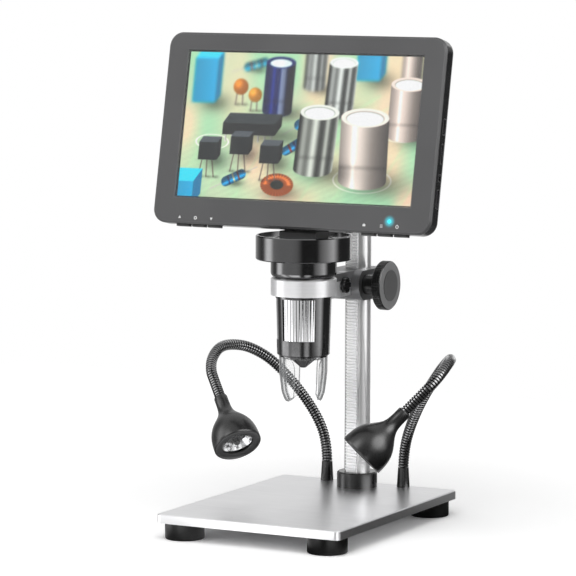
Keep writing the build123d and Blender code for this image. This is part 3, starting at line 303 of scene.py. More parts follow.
def makeShieldFinish(look):
    bench = materialBench("shield")
    fine = bench.grain(look.grain)
    facing = bench.node("ShaderNodeLayerWeight", {"Blend": 0.5}, "Facing")
    rim = bench.edgeWearAndPaintedLight(look.rimWide)
    # painted shade where the wall turns away from view and along its rims
    paintedEdgeShade = (facing.between(*look.turned) * look.thick).most(rim * look.rim)
    return bench.finish(
        Base_Color=bench.blendColours(paintedEdgeShade, look.across, look.edge),
        Roughness=look.rough + fine * look.uneven, IOR=look.ior, Alpha=paintedEdgeShade + look.thin,
    )


statusLook = Look(
    colour=(0.0, 0.66, 0.8), bright=(0.06, 0.86, 0.95), grain=900.0, specks=(0.3, 0.7), rough=0.3,
    uneven=0.1, glow=1.0,
)


def makeStatusFinish(look):
    bench = materialBench("statusLight")
    fine = bench.grain(look.grain)
    colour = bench.blendColours(fine.between(*look.specks), look.colour, look.bright)
    return bench.finish(
        Base_Color=colour, Emission_Color=colour, Emission_Strength=look.glow,
        Roughness=look.rough + fine * look.uneven,
    )


# the frame round the picture: the status lamp's light spreads over it as a painted glow, and its edges get
# a paler painted highlight
bezelLook = Look(
    colour=(0.06, 0.06, 0.062), worn=(0.26, 0.26, 0.262), rough=0.4, uneven=0.06, grain=2400.0, dent=1e-5,
    cloud=14.0, clouds=(0.35, 0.65, 0.0, 0.06), edge=0.0005, rub=0.6, lamp=(0.0653, -0.02833, 0.18816),
    spread=(0.001, 0.0048), halo=(0.0, 0.5, 0.6),
)


def makeBezelFinish(look):
    bench = materialBench("bezel")
    fine = bench.grain(look.grain)
    cloud = bench.grain(look.cloud, detail=2.0)
    # paler colour along the edges: a painted highlight on the rim; the broad clouds vary the tone a little
    share = cloud.between(*look.clouds) + bench.edgeWearAndPaintedLight(look.edge) * look.rub
    # a painted glow of the status lamp's light round it
    away = bench.measure("DISTANCE", bench.place(), look.lamp)
    glow = away.between(*look.spread, 1.0, 0.0)
    return bench.finish(
        Base_Color=bench.blendColours(share, look.colour, look.worn),
        Roughness=look.rough + fine * look.uneven,
        Emission_Color=bench.blendColours(glow * glow, (0.0, 0.0, 0.0), look.halo),
        Emission_Strength=1.0, Normal=bench.dent(fine, look.dent),
    )


# the knobs: their outer faces, past this distance from the middle, are paler than their rims
knobLook = Look(
    rim=(0.012, 0.012, 0.012), face=(0.27, 0.27, 0.272), worn=(0.05, 0.05, 0.05), past=0.0282, rough=0.26,
    faceRough=0.2, grain=1800.0, specks=(0.3, 0.7, 0.0, 0.12), dent=6e-6, edge=0.0004, rub=0.5,
)


def makeKnobFinish(look):
    bench = materialBench("knob")
    fine = bench.grain(look.grain)
    rub = bench.edgeWearAndPaintedLight(look.edge)
    face = abs(bench.axes(bench.place())[0]).above(look.past)
    rim = bench.blendColours(rub * look.rub, look.rim, look.worn)
    turned = bench.blendColours(fine.between(*look.specks), look.face, look.worn)
    return bench.finish(
        Base_Color=bench.blendColours(face, rim, turned),
        Roughness=look.rough + face * look.faceRough, Normal=bench.dent(fine, look.dent),
    )


# the ribbed necks: bright and dusty on their crests, rough in between and painted dark there as shade in
# the grooves
ribLook = Look(
    groove=(0.004, 0.004, 0.004), crest=(0.19, 0.19, 0.192), dust=(0.24, 0.24, 0.235), raised=(0.5, 1.0),
    cloud=90.0, clouds=(0.5, 0.75, 0.0, 0.4), metallic=(0.3, 0.7), rough=0.1, grooveRough=0.3, uneven=0.05,
    grain=1400.0, dent=3e-6,
)


def makeRibFinish(look):
    bench = materialBench("ribs")
    fine = bench.grain(look.grain)
    crest = bench.node("ShaderNodeAttribute", output="Fac", attribute_name="crest")
    raised = crest.between(*look.raised)
    dusty = bench.grain(look.cloud).between(*look.clouds)
    rubbed = bench.blendColours(dusty, look.crest, look.dust)
    least, more = look.metallic
    # the grooves take a near black colour as painted shade, the crests a dusty metal
    return bench.finish(
        Base_Color=bench.blendColours(raised, look.groove, rubbed),
        Metallic=least + raised * more,
        Roughness=look.rough + (1 - raised) * look.grooveRough + fine * look.uneven,
        Normal=bench.dent(fine, look.dent),
    )


finishes = {
    **{key: machinedMetal(key, look) for key, look in metalLooks.items()},
    **{key: mouldedPlastic(key, look) for key, look in plasticLooks.items()},
    **{key: clearMaterial(key, look) for key, look in clearLooks.items()},
    "shield": makeShieldFinish(shieldLook),
    "status": makeStatusFinish(statusLook),
    "bezel": makeBezelFinish(bezelLook),
    "knob": makeKnobFinish(knobLook),
    "ribs": makeRibFinish(ribLook),
}
print("finishes made:", len(finishes))

wearers = {
    "plate": "base_plate",
    "steel": "column pinion_shaft",
    "rack": "rack",
    "clamp": "ring_clamp",
    "carriage": "carriage_body",
    "barrel": "upper_barrel lower_barrel focus_ring",
    "screw": "foot_screws column_screw arm_screws hinge_pin cover_screws side_sockets",
    "brass": "pinion_bushes",
    "foil": "battery",
    "chrome": "grip_inserts",
    "reflector": "lamp_reflector_left lamp_reflector_right",
    "case": "rear_cover",
    "satin": "column_collar column_bush lamp_socket_left lamp_socket_right lens_carrier lcd_panel "
             "thumbscrew",
    "key": "button_up button_ok button_down button_capture button_menu button_power",
    "knobFace": "knob_caps",
    "neck": "neck_block tilt_bracket",
    "rubber": "feet",
    "lampShell": "lamp_shell_left lamp_shell_right",
    "board": "main_board sensor_board",
    "dieBoard": "led_ring lamp_leds_left lamp_leds_right",
    "window": "screen_glass lamp_lens_left lamp_lens_right",
    "lens": "objective_lens",
    "shield": "clear_shield",
    "status": "status_led",
    "bezel": "front_bezel",
    "knob": "focus_knob_left focus_knob_right",
    "ribs": "neck_lower_left neck_upper_left neck_end_left "
            "neck_lower_right neck_upper_right neck_end_right",
}
for key, names in wearers.items():
    for name in names.split():
        slots = nodes[name].data.materials
        slots.clear()
        slots.append(finishes[key])
print("frame dressed")


def dropSelection():
    if bpy.context.object and bpy.context.object.mode != "OBJECT":
        bpy.ops.object.mode_set(mode="OBJECT")
    bpy.ops.object.select_all(action="DESELECT")


def pick(*pieces):
    dropSelection()
    for piece in pieces:
        piece.select_set(True)
    bpy.context.view_layer.objects.active = pieces[0]


def pieceNow(name):
    piece = bpy.context.object
    piece.name = name
    piece.data.name = name
    return piece


def joined(pieces, name):
    pick(*pieces)
    bpy.ops.object.join()
    return pieceNow(name)


def openMesh():
    bpy.ops.object.mode_set(mode="EDIT")
    bpy.ops.mesh.select_all(action="SELECT")


def closeMesh():
    bpy.ops.mesh.select_all(action="SELECT")
    bpy.ops.mesh.normals_make_consistent(inside=False)
    bpy.ops.object.mode_set(mode="OBJECT")


# extrudes the selected ring along an outline of (radius, height) points
def extrudeAlong(outline, stretch=1.0):
    for (wide, low), (nextWide, high) in zip(outline, outline[1:]):
        bpy.ops.mesh.extrude_region_move(TRANSFORM_OT_translate={"value": (0, 0, (high - low) * stretch)})
        bpy.ops.transform.resize(value=(nextWide / wide, nextWide / wide, 1))


def turnOnLathe(name, outline, sides, closed=False):
    dropSelection()
    radius, height = outline[0]
    bpy.ops.mesh.primitive_circle_add(vertices=sides, radius=radius, location=(0, 0, height))
    piece = pieceNow(name)
    openMesh()
    extrudeAlong(outline)
    bpy.ops.mesh.select_all(action="SELECT")
    bpy.ops.mesh.remove_doubles(threshold=1e-6)
    if not closed:
        bpy.ops.mesh.fill_holes(sides=0)
    closeMesh()
    return piece


def settle(piece, place=None, smooth=0.0):
    if place is not None:
        piece.matrix_world = place @ piece.matrix_world
    pick(piece)
    bpy.ops.object.transform_apply(location=True, rotation=True, scale=True)
    if smooth:
        bpy.ops.object.shade_smooth_by_angle(angle=radians(smooth))
    return piece


def applyModifiers(piece):
    pick(piece)
    for modifier in list(piece.modifiers):
        bpy.ops.object.modifier_apply(modifier=modifier.name)


def paint(piece, material):
    piece.data.materials.clear()
    piece.data.materials.append(material)


# the picture on the display, painted on the panel's own grid of points
screenLook = Look(
    columns=352, rows=200, fine=2, seed=11, width=0.1551, height=0.0881, panel=0.0021, thick=0.003,
    tilt=radians(11.508), margin=2, middle=(0.0, -0.017772, 0.239994), colourful=1.08, contrast=1.25,
    lift=0.07, gamma=2.2, black=0.004, side=0.01, glow=0.92, grain=1500.0, dots=(0.3, 0.7, 0.0, 0.08),
    rough=0.4, uneven=0.1,
)


def screenFrame():
    tilt = screenLook.tilt
    across, up = Vector((1, 0, 0)), Vector((0, sin(tilt), cos(tilt)))
    turn = Matrix((across, up, across.cross(up))).transposed().to_4x4()
    return Matrix.Translation(screenLook.middle) @ turn


def mix(first, second, share):
    return first * (1 - share) + second * share


def hump(value, middle, wide, power=2):
    return np.exp(-(((value - middle) / wide) ** power))


def shade(colour, light):
    return np.clip(np.asarray(colour)[None, None, :] * light[..., None], 0, 1)


# places on the canvas run from 0 to 1 across, and down in the same unit
class Canvas:
    def __init__(self, columns, rows, seed):
        self.pixel = 1.0 / columns
        self.x, self.y = np.meshgrid(
            (np.arange(columns) + 0.5) / columns, (np.arange(rows) + 0.5) / columns
        )
        self.ink = np.zeros((rows, columns, 3))
        self.dice = np.random.default_rng(seed)

    def soft(self, inside):
        return np.clip(inside / self.pixel + 0.5, 0.0, 1.0)

    def lay(self, mask, colour):
        self.ink = mix(self.ink, np.asarray(colour, float), mask[..., None])

    def reach(self, x, y, wide, tall):
        return np.sqrt(((self.x - x) / wide) ** 2 + ((self.y - y) / tall) ** 2)

    def oval(self, x, y, wide, tall):
        return self.soft((1 - self.reach(x, y, wide, tall)) * min(wide, tall))

    def block(self, left, top, right, bottom):
        sides = [self.x - left, right - self.x, self.y - top, bottom - self.y]
        return self.soft(np.minimum.reduce(sides))

    def stroke(self, start, end, width):
        (ax, ay), (bx, by) = start, end
        along = np.clip(((self.x - ax) * (bx - ax) + (self.y - ay) * (by - ay))
                        / ((bx - ax) ** 2 + (by - ay) ** 2), 0, 1)
        off = np.hypot(self.x - ax - along * (bx - ax), self.y - ay - along * (by - ay))
        return self.soft(width / 2 - off), along, off

    def blur(self, reach):
        steps = int(reach * 3) + 1
        kernel = np.exp(-0.5 * (np.arange(-steps, steps + 1) / reach) ** 2)
        kernel /= kernel.sum()
        for axis in (0, 1):
            margin = [(0, 0)] * 3
            margin[axis] = (steps, steps)
            padded = np.pad(self.ink, margin, mode="edge")
            size = self.ink.shape[axis]
            self.ink = sum(
                weight * np.take(padded, range(number, number + size), axis=axis)
                for number, weight in enumerate(kernel)
            )

    def clouds(self, cells):
        rows, columns = self.x.shape
        coarse = self.dice.random((cells, cells * 2))
        down = np.linspace(0, cells - 1.001, rows)
        across = np.linspace(0, cells * 2 - 1.001, columns)
        row, column = down.astype(int)[:, None], across.astype(int)[None, :]
        fy, fx = (down % 1)[:, None], (across % 1)[None, :]
        fy, fx = fy * fy * (3 - 2 * fy), fx * fx * (3 - 2 * fx)
        top = mix(coarse[row, column], coarse[row, column + 1], fx)
        low = mix(coarse[row + 1, column], coarse[row + 1, column + 1], fx)
        return mix(top, low, fy)


boardLook = Look(
    green=(0.62, 0.79, 0.64), tan=(0.86, 0.79, 0.66), rose=(0.92, 0.75, 0.68), tracks=9,
    track=(0.66, 0.86, 0.66), wide=0.006, strength=0.45,
)


def paintBoard(canvas, look):
    green, tan, rose = [np.array(look[key]) for key in ("green", "tan", "rose")]
    share = np.clip(canvas.clouds(5) * 1.6 - 0.3, 0, 1)[..., None]
    blush = np.clip(canvas.clouds(4) * 1.8 - 0.9, 0, 1)[..., None]
    canvas.ink = mix(mix(green, tan, share), rose, 0.6 * blush)
    slant = canvas.x * 0.42 + canvas.y
    weave = 0.5 + 0.5 * np.sin(slant * 260) * np.clip(canvas.y * 2.4 - 0.2, 0, 1)
    canvas.ink *= (0.95 + 0.07 * weave)[..., None]
    for number in range(look.tracks):
        start = (-0.05 + 0.14 * number, 0.6)
        bend = (start[0] + 0.16, 0.34 - 0.02 * (number % 3))
        end = (bend[0] + 0.3, 0.2 - 0.015 * number)
        for first, last in ((start, bend), (bend, end)):
            mask = canvas.stroke(first, last, look.wide)[0]
            canvas.lay(mask * look.strength, look.track)


def paintShadow(canvas, x, y, wide, tall, depth=0.45):
    canvas.ink *= (1 - depth * np.exp(-2.2 * canvas.reach(x, y, wide, tall) ** 2))[..., None]


canWear = Look(lean=0.0, squash=0.36, gloss=0.2, silver=False)


def paintCan(canvas, look):
    look = Look(canWear, **look)
    (x, foot, wide, tall), lean = look.stand, look.lean
    squash = wide * look.squash
    paintShadow(canvas, x + wide * 0.7, foot + squash * 0.4, wide * 1.7, squash * 2.0)
    climb = np.clip((foot - canvas.y) / tall, -0.3, 1.3)
    side = np.clip((canvas.x - x - lean * climb) / wide, -1, 1)
    bow = squash * np.sqrt(1 - side * side)
    inside = np.minimum.reduce([foot + bow - canvas.y, canvas.y - (foot - tall) + 0.2 * squash,
                                wide - np.abs(canvas.x - x - lean * climb)])
    if look.silver:
        light = 0.55 + 0.45 * np.cos(side * 7.5 + 1.1) * np.cos(side * 3.1) + 0.25 * hump(side, 0.5, 0.1)
    else:
        light = 0.5 + 0.52 * hump(side, -0.35, 0.55) - 0.22 * np.clip(side, 0, 1) ** 2
        light = light + look.gloss * hump(side, -0.42, 0.09)
    body = shade(look.side, light)
    if "stripe" in look:
        body = mix(body, shade(look.mark, light * 1.05), hump(side, look.stripe, 0.22, 4)[..., None])
    waist = hump(climb, 0.2, 0.035)[..., None]
    canvas.lay(canvas.soft(inside), body * (1 - 0.16 * waist))
    topX, topY, metal = x + lean, foot - tall, np.array(look.side)
    canvas.lay(canvas.oval(topX, topY, wide, squash), metal * 1.05)
    canvas.lay(canvas.oval(topX, topY + squash * 0.06, wide * 0.8, squash * 0.78), metal * 0.72)
    lid = canvas.oval(topX, topY + squash * 0.12, wide * 0.76, squash * 0.72)
    canvas.lay(lid, look.lid)
    canvas.lay(lid * hump(canvas.x, topX - wide * 0.2, wide * 0.4) * 0.5, (1.0, 1.0, 1.0))


def paintBox(canvas, look):
    left, top, right, bottom, rise = look.box
    paintShadow(canvas, right, bottom, (right - left) * 0.9, 0.05)
    slip = rise * 0.7
    fade = 0.86 + 0.14 * (canvas.x - left) / (right - left)
    canvas.lay(canvas.block(left, top, right, bottom), shade(look.face, fade))
    lift = (top - canvas.y) / rise
    inside = [canvas.x - left - slip * lift, right + slip * lift - canvas.x, top - canvas.y,
              canvas.y - top + rise]
    canvas.lay(canvas.soft(np.minimum.reduce(inside)), look.lid)
    flank = (canvas.x - right) / slip
    inside = [canvas.x - right, right + slip - canvas.x, canvas.y - top + rise * flank,
              bottom - rise * flank - canvas.y]
    canvas.lay(canvas.soft(np.minimum.reduce(inside)), look.flank)


def paintLegs(canvas, spots, bottom, width):
    for top, foot in spots:
        mask, _, off = canvas.stroke(top, (foot, bottom), width)
        canvas.lay(mask, shade((0.3, 0.26, 0.24), 1.6 - off / width))
        paintShadow(canvas, foot + 0.01, bottom, 0.02, 0.008, 0.35)


def paintTransistor(canvas, spot):
    x, y = spot
    legs = (((x + 0.018, y), x + 0.008), ((x + 0.04, y), x + 0.042), ((x + 0.062, y), x + 0.074))
    paintLegs(canvas, legs, y + 0.065, 0.0045)
    paintBox(canvas, Look(
        box=(x, y - 0.068, x + 0.08, y, 0.022), face=(0.1, 0.12, 0.13), lid=(0.3, 0.32, 0.34),
        flank=(0.05, 0.06, 0.07),
    ))


def paintChip(canvas, look):
    left, top, right, bottom, rise = look.box
    for number in range(look.pins):
        x = left + (number + 0.5) * (right - left) / look.pins
        pin = canvas.stroke((x, bottom - 0.006), (x + 0.002, bottom + 0.024), 0.0075)[0]
        canvas.lay(pin, (0.8, 0.8, 0.78))
        edge = canvas.stroke((x + 0.003, bottom), (x + 0.004, bottom + 0.022), 0.002)[0]
        canvas.lay(edge, (0.45, 0.42, 0.4))
    paintBox(canvas, look)
    canvas.lay(canvas.oval(left + 0.03, top - rise * 0.5, 0.008, 0.004), (0.1, 0.11, 0.12))


def paintResistor(canvas, look):
    (ax, ay), (bx, by), width = look.start, look.end, look.wide
    paintShadow(canvas, (ax + bx) / 2 + 0.01, (ay + by) / 2 + 0.02, 0.05, 0.02)
    wire = canvas.stroke((2 * ax - bx, 2 * ay - by), (2 * bx - ax, 2 * by - ay), 0.003)[0]
    canvas.lay(wire, (0.72, 0.7, 0.68))
    mask, along, off = canvas.stroke((ax, ay), (bx, by), width)
    across = ((canvas.x - ax) * (by - ay) - (canvas.y - ay) * (bx - ax)) / np.hypot(bx - ax, by - ay)
    shine = np.exp(-(((across / width) + 0.18) ** 2) / 0.03)
    light = 0.62 + 0.55 * shine - 0.3 * np.clip(off / width, 0, 1)
    colour = shade(look.body, light)
    for place, band in look.bands:
        colour = mix(colour, shade(band, light), hump(along, place, 0.045, 4)[..., None])
    canvas.lay(mask, colour)


def paintDisc(canvas, look):
    x, y, wide = look.disc
    legs = [((x + side * wide * 0.4, y + wide * 0.7), x + side * wide * 0.5) for side in (-1, 1)]
    paintLegs(canvas, legs, y + wide * 2.3, 0.004)
    shine = np.exp(-canvas.reach(x - wide * 0.35, y - wide * 0.35, wide, wide) ** 2 * 2.5)
    canvas.lay(canvas.oval(x + wide * 0.12, y + wide * 0.06, wide, wide), np.array(look.body) * 0.6)
    canvas.lay(canvas.oval(x, y, wide, wide), shade(look.body, 0.7 + 0.45 * shine))


def paintCoil(canvas, look):
    x, y, wide = look.disc
    tall = wide * 0.62
    paintShadow(canvas, x + 0.02, y + tall * 0.7, wide * 1.5, tall)
    reach = canvas.reach(x, y, wide, tall)
    turn = np.arctan2((canvas.y - y) / tall, (canvas.x - x) / wide)
    strands = 0.5 + 0.5 * np.cos(turn * 30 + reach * 3)
    light = 0.45 + 0.5 * strands + 0.5 * hump(reach, 0.72, 0.12) * (turn < 0)
    ring = canvas.soft((1 - reach) * tall) * canvas.soft((reach - 0.4) * tall)
    canvas.lay(canvas.oval(x, y, wide * 0.45, tall * 0.45), (0.1, 0.13, 0.1))
    canvas.lay(ring, shade((0.74, 0.4, 0.2), light))


def paintOutline(canvas, spot):
    x, y, wide = spot
    reach = canvas.reach(x, y, wide, wide * 0.4)
    canvas.lay(canvas.soft(0.0018 - np.abs(reach - 1) * wide * 0.6) * 0.9, (0.97, 0.97, 0.92))


cream, silver, pearl = (0.82, 0.76, 0.72), (0.84, 0.86, 0.84), (0.88, 0.9, 0.88)
azure, rust, deepBlue, sand = (0.1, 0.55, 0.74), (0.5, 0.2, 0.1), (0.05, 0.2, 0.4), (0.85, 0.8, 0.6)
blueBox = Look(face=(0.02, 0.6, 0.76), lid=(0.2, 0.76, 0.88), flank=(0.01, 0.42, 0.56))
blackBox = Look(face=(0.09, 0.1, 0.11), lid=(0.2, 0.22, 0.23), flank=(0.05, 0.06, 0.07))
# from the far end of the board to the near one: what is far is blurred more often
pictureSteps = (
    (paintBoard, boardLook),
    (paintBox, Look(box=(0.03, 0.03, 0.13, 0.2, 0.03), **blueBox)),
    (paintCan, Look(stand=(0.95, 0.17, 0.042, 0.19), side=cream, lid=(0.9, 0.92, 0.9))),
    (paintCan, Look(stand=(0.55, 0.13, 0.046, 0.17), side=silver, lid=silver, silver=True)),
    (paintBox, Look(box=(0.72, -0.02, 0.82, 0.1, 0.03), **blueBox)),
    (paintResistor, Look(
        start=(0.26, 0.06), end=(0.33, 0.04), wide=0.034, body=(0.2, 0.66, 0.78),
        bands=((0.2, (0.8, 0.3, 0.2)), (0.5, (0.9, 0.85, 0.7)), (0.8, (0.3, 0.25, 0.2))),
    )),
    (Canvas.blur, 3.2),
    (paintCan, Look(stand=(0.66, 0.225, 0.06, 0.19), side=silver, lid=pearl, silver=True, lean=0.006)),
    (paintCan, Look(
        stand=(0.4, 0.225, 0.062, 0.185), side=(0.07, 0.13, 0.34), lid=(0.8, 0.88, 0.86), stripe=0.25,
        mark=(0.62, 0.68, 0.82), gloss=0.5,
    )),
    (paintDisc, Look(disc=(0.235, 0.135, 0.03), body=(0.8, 0.5, 0.2))),
    (paintDisc, Look(disc=(0.3, 0.165, 0.027), body=(0.84, 0.58, 0.24))),
    (Canvas.blur, 1.6),
    (paintResistor, Look(
        start=(0.5, 0.275), end=(0.565, 0.235), wide=0.04, body=azure,
        bands=((0.2, deepBlue), (0.42, deepBlue), (0.64, sand), (0.86, rust)),
    )),
    (paintOutline, (0.785, 0.475, 0.12)),
    (paintOutline, (0.135, 0.35, 0.07)),
    (paintOutline, (0.93, 0.3, 0.07)),
    (paintCan, Look(stand=(0.945, 0.3, 0.075, 0.19), side=cream, lid=(0.86, 0.93, 0.9))),
    (paintChip, Look(box=(0.175, 0.275, 0.4, 0.32, 0.038), pins=8, **blackBox)),
    (paintResistor, Look(
        start=(0.455, 0.375), end=(0.535, 0.325), wide=0.036, body=azure,
        bands=((0.2, (0.6, 0.2, 0.1)), (0.45, deepBlue), (0.7, (0.9, 0.85, 0.6))),
    )),
    (paintCan, Look(
        stand=(0.785, 0.475, 0.1, 0.235), side=(0.86, 0.81, 0.77), lid=(0.86, 0.94, 0.91), lean=-0.01,
    )),
    (paintCan, Look(
        stand=(0.575, 0.44, 0.082, 0.215), side=(0.8, 0.82, 0.78), lid=(0.9, 0.93, 0.9), silver=True,
        lean=0.008,
    )),
    (paintCoil, Look(disc=(0.43, 0.505, 0.07))),
    (paintResistor, Look(
        start=(0.21, 0.5), end=(0.275, 0.47), wide=0.038, body=azure,
        bands=((0.2, deepBlue), (0.5, sand), (0.8, rust)),
    )),
    (paintTransistor, (0.08, 0.42)),
    (paintTransistor, (0.215, 0.395)),
    (paintTransistor, (0.345, 0.425)),
    (paintBox, Look(box=(-0.05, 0.505, 0.07, 0.6, 0.05), **blueBox)),
    (Canvas.blur, 0.7),
)


def paintPicture(look):
    columns, rows, fine, margin = look.columns, look.rows, look.fine, look.margin
    canvas = Canvas(columns * fine, rows * fine, look.seed)
    for step, setting in pictureSteps:
        step(canvas, setting)
    ink = canvas.ink.reshape(rows, fine, columns, fine, 3).mean(axis=(1, 3))
    grey = ink.mean(axis=2, keepdims=True)
    ink = grey + (ink - grey) * look.colourful
    ink = np.clip(0.5 + (ink - 0.5) * look.contrast + look.lift, 0, 1) ** look.gamma
    for border in (ink[:margin], ink[-margin:], ink[:, :margin], ink[:, -margin:]):
        border[...] = look.black
    return ink


def makeDisplay(look):
    columns, rows = look.columns, look.rows
    dropSelection()
    bpy.ops.mesh.primitive_grid_add(x_subdivisions=columns - 1, y_subdivisions=rows - 1, size=1.0)
    panel = pieceNow("displayPanel")
    openMesh()
    bpy.ops.transform.resize(value=(look.width, look.height, 1))
    bpy.ops.transform.translate(value=(0, 0, -look.panel))
    bpy.ops.mesh.region_to_loop()
    bpy.ops.mesh.extrude_edges_move(TRANSFORM_OT_translate={"value": (0, 0, -look.thick)})
    bpy.ops.mesh.edge_face_add()
    closeMesh()
    places = np.array([vertex.co for vertex in panel.data.vertices])
    column = np.rint((places[:, 0] / look.width + 0.5) * (columns - 1)).astype(int)
    row = np.rint((0.5 - places[:, 1] / look.height) * (rows - 1)).astype(int)
    shown = paintPicture(look)[np.clip(row, 0, rows - 1), np.clip(column, 0, columns - 1)]
    shown[places[:, 2] < -look.panel - 1e-6] = look.side
    colours = panel.data.attributes.new("picture", "FLOAT_COLOR", "POINT")
    colours.data.foreach_set("color", np.c_[shown, np.ones(len(shown))].astype(np.float32).ravel())
    settle(panel, screenFrame())
    bench = materialBench("litPicture")
    seen = bench.node("ShaderNodeAttribute", output="Color", attribute_name="picture")
    dots = bench.grain(look.grain)
    finish = bench.finish(
        Base_Color=(look.side, look.side, look.side, 1.0),
        Emission_Color=bench.blendColours(dots.between(*look.dots), seen, (0.0, 0.0, 0.0)),
        Emission_Strength=look.glow,
        Roughness=look.rough + dots * look.uneven,
    )
    paint(panel, finish)
    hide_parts("lcd_panel")
    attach(panel, "monitor")


makeDisplay(screenLook)
print("picture painted")

neckLook = Look(pitch=0.00175, crest=0.00328, valley=0.00232, sides=22, merge=1e-5, smooth=50.0)
# control points of the right lamp's neck, in millimetres: the left one is its mirror image
lowRoute = ((26.2, 74.6, 27.3), (26.6, 74.7, 38.0), (31.0, 73.4, 52.5), (41.2, 68.2, 70.4),
            (55.6, 60.8, 88.6), (65.2, 52.4, 97.0), (72.0, 43.7, 100.6), (77.4, 30.0, 101.0),
            (77.2, 24.0, 97.7))
highRoute = ((77.2, 24.0, 97.7), (77.0, 18.0, 94.4), (73.4, 10.6, 87.6), (69.5, 7.6, 82.75),
             (61.4, 1.35, 72.8))
lampLook = Look(rim=(41.1, -14.3, 47.9), back=(0.57, 0.44, 0.7), sides=72, smooth=38.0)
# radius and depth in millimetres, from the bore of the rim round the outside and back through the bore
shellOutline = ((9.4, 2.0), (9.4, 0.95), (9.75, 0.6), (11.5, 0.5), (13.1, 0.42), (13.5, 0.1), (13.8, 0.0),
                (14.2, 0.05), (14.48, 0.4), (14.5, 1.5), (14.48, 3.5), (14.36, 5.5), (14.08, 7.8),
                (13.6, 10.0), (12.85, 12.2), (11.85, 14.3), (10.6, 16.3), (9.2, 18.2), (7.9, 19.8),
                (6.75, 21.3), (5.8, 22.8), (5.1, 24.2), (4.65, 25.6), (4.35, 27.2), (4.2, 29.0),
                (4.12, 31.5), (4.1, 35.9), (3.95, 36.3), (3.6, 36.4), (2.1, 36.4), (2.0, 31.4), (1.2, 31.3),
                (1.2, 14.1), (10.3, 14.0), (12.9, 5.6), (12.9, 2.1), (9.4, 2.0))


def metres(point, side=1):
    return Vector((side * point[0], point[1], point[2])) / 1000


def makeRoute(name, points):
    data = bpy.data.curves.new(name, "CURVE")
    data.dimensions = "3D"
    data.twist_mode = "MINIMUM"
    data.resolution_u = 24
    spline = data.splines.new("NURBS")
    spline.points.add(len(points) - 1)
    for knot, point in zip(spline.points, points):
        knot.co = (*point, 1.0)
    spline.order_u = 3
    spline.use_endpoint_u = True
    route = bpy.data.objects.new(name, data)
    bpy.context.scene.collection.objects.link(route)
    bpy.context.view_layer.update()
    return route, spline.calc_length()


def ribbedTube(name, points):
    route, length = makeRoute(name + "Route", points)
    count = round(length / neckLook.pitch)
    pitch = length / count
    valley, crest = neckLook.valley, neckLook.crest
    middle = (valley + 2 * crest) / 3
    dropSelection()
    bpy.ops.mesh.primitive_circle_add(vertices=neckLook.sides, radius=valley)
    tube = pieceNow(name)
    openMesh()
    outline = ((valley, 0), (middle, 0.1), (crest, 0.22), (crest, 0.7), (middle, 0.83), (valley, 0.95),
               (valley, 1.0))
    extrudeAlong(outline, pitch)
    bpy.ops.object.mode_set(mode="OBJECT")
    heights = [(vertex.co.xy.length - valley) / (crest - valley) for vertex in tube.data.vertices]
    tube.data.attributes.new("crest", "FLOAT", "POINT").data.foreach_set("value", heights)
    row = tube.modifiers.new("ribs", "ARRAY")
    row.use_relative_offset = False
    row.use_constant_offset = True
    row.constant_offset_displace = (0, 0, pitch)
    row.count = count
    row.use_merge_vertices = True
    row.merge_threshold = neckLook.merge
    bend = tube.modifiers.new("bend", "CURVE")
    bend.object = route
    bend.deform_axis = "POS_Z"
    applyModifiers(tube)
    openMesh()
    bpy.ops.mesh.fill_holes(sides=0)
    closeMesh()
    bpy.data.objects.remove(route)
    paint(tube, finishes["ribs"])
    return settle(tube, smooth=neckLook.smooth)


# the frame of a lamp head, with its origin at this depth behind the rim and Z pointing back
def lampPlace(side, depth=0.0):
    back = metres(lampLook.back, side).normalized()
    turn = back.to_track_quat("Z", "Y").to_matrix().to_4x4()
    return Matrix.Translation(metres(lampLook.rim, side) + back * depth) @ turn


def makeLamp(side, name):
    lowTube = ribbedTube("gooseneckLower_" + name, [metres(point, side) for point in lowRoute])
    highTube = ribbedTube("gooseneckUpper_" + name, [metres(point, side) for point in highRoute])
    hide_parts("neck_lower_" + name, "neck_upper_" + name)
    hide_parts("neck_end_" + name)
    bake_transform(lowTube)
    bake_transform(highTube)

    outline = [(radius / 1000, depth / 1000) for radius, depth in shellOutline]
    shell = turnOnLathe("lampHead_" + name, outline, lampLook.sides, closed=True)
    paint(shell, finishes["lampShell"])
    settle(shell, lampPlace(side), smooth=lampLook.smooth)
    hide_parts("lamp_shell_" + name)
    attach(shell, "lamp_head_" + name)
    print("lamp made:", name)


domeLook = Look(
    count=3, circle=0.004, radius=0.0024, stand=0.0029, root=0.0002, board=0.0072, thick=0.0011, at=0.00891,
    sides=28, arc=(15, 30, 45, 60, 75, 86), smooth=50.0, boardSmooth=30.0,
)


def makeDiodes(side, name):
    radius, stand = domeLook.radius, domeLook.stand
    arc = [(radius * cos(radians(turn)), -stand - radius * sin(radians(turn))) for turn in domeLook.arc]
    outline = [(radius, domeLook.root), (radius, -stand)] + arc
    back = metres(lampLook.back, side).normalized()
    across = back.cross(Vector((0, 0, 1))).normalized()
    place = lampPlace(side, domeLook.at)
    domes = []
    for number in range(domeLook.count):
        turn = radians(360 / domeLook.count * number)
        turn = turn if side > 0 else pi - turn
        spot = (across * cos(turn) + back.cross(across) * sin(turn)) * domeLook.circle
        dome = turnOnLathe("diode", outline, domeLook.sides)
        domes.append(settle(dome, Matrix.Translation(spot) @ place, smooth=domeLook.smooth))
    domes = joined(domes, "diodes_" + name)
    paint(domes, finishes["ledDome"])
    outline = ((domeLook.board, 0.0), (domeLook.board, domeLook.thick))
    board = turnOnLathe("diodeBoard_" + name, outline, domeLook.sides * 2)
    paint(board, finishes["dieBoard"])
    settle(board, place, smooth=domeLook.boardSmooth)
    for piece in (domes, board):
        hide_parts("lamp_leds_" + name)
        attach(piece, "lamp_head_" + name)


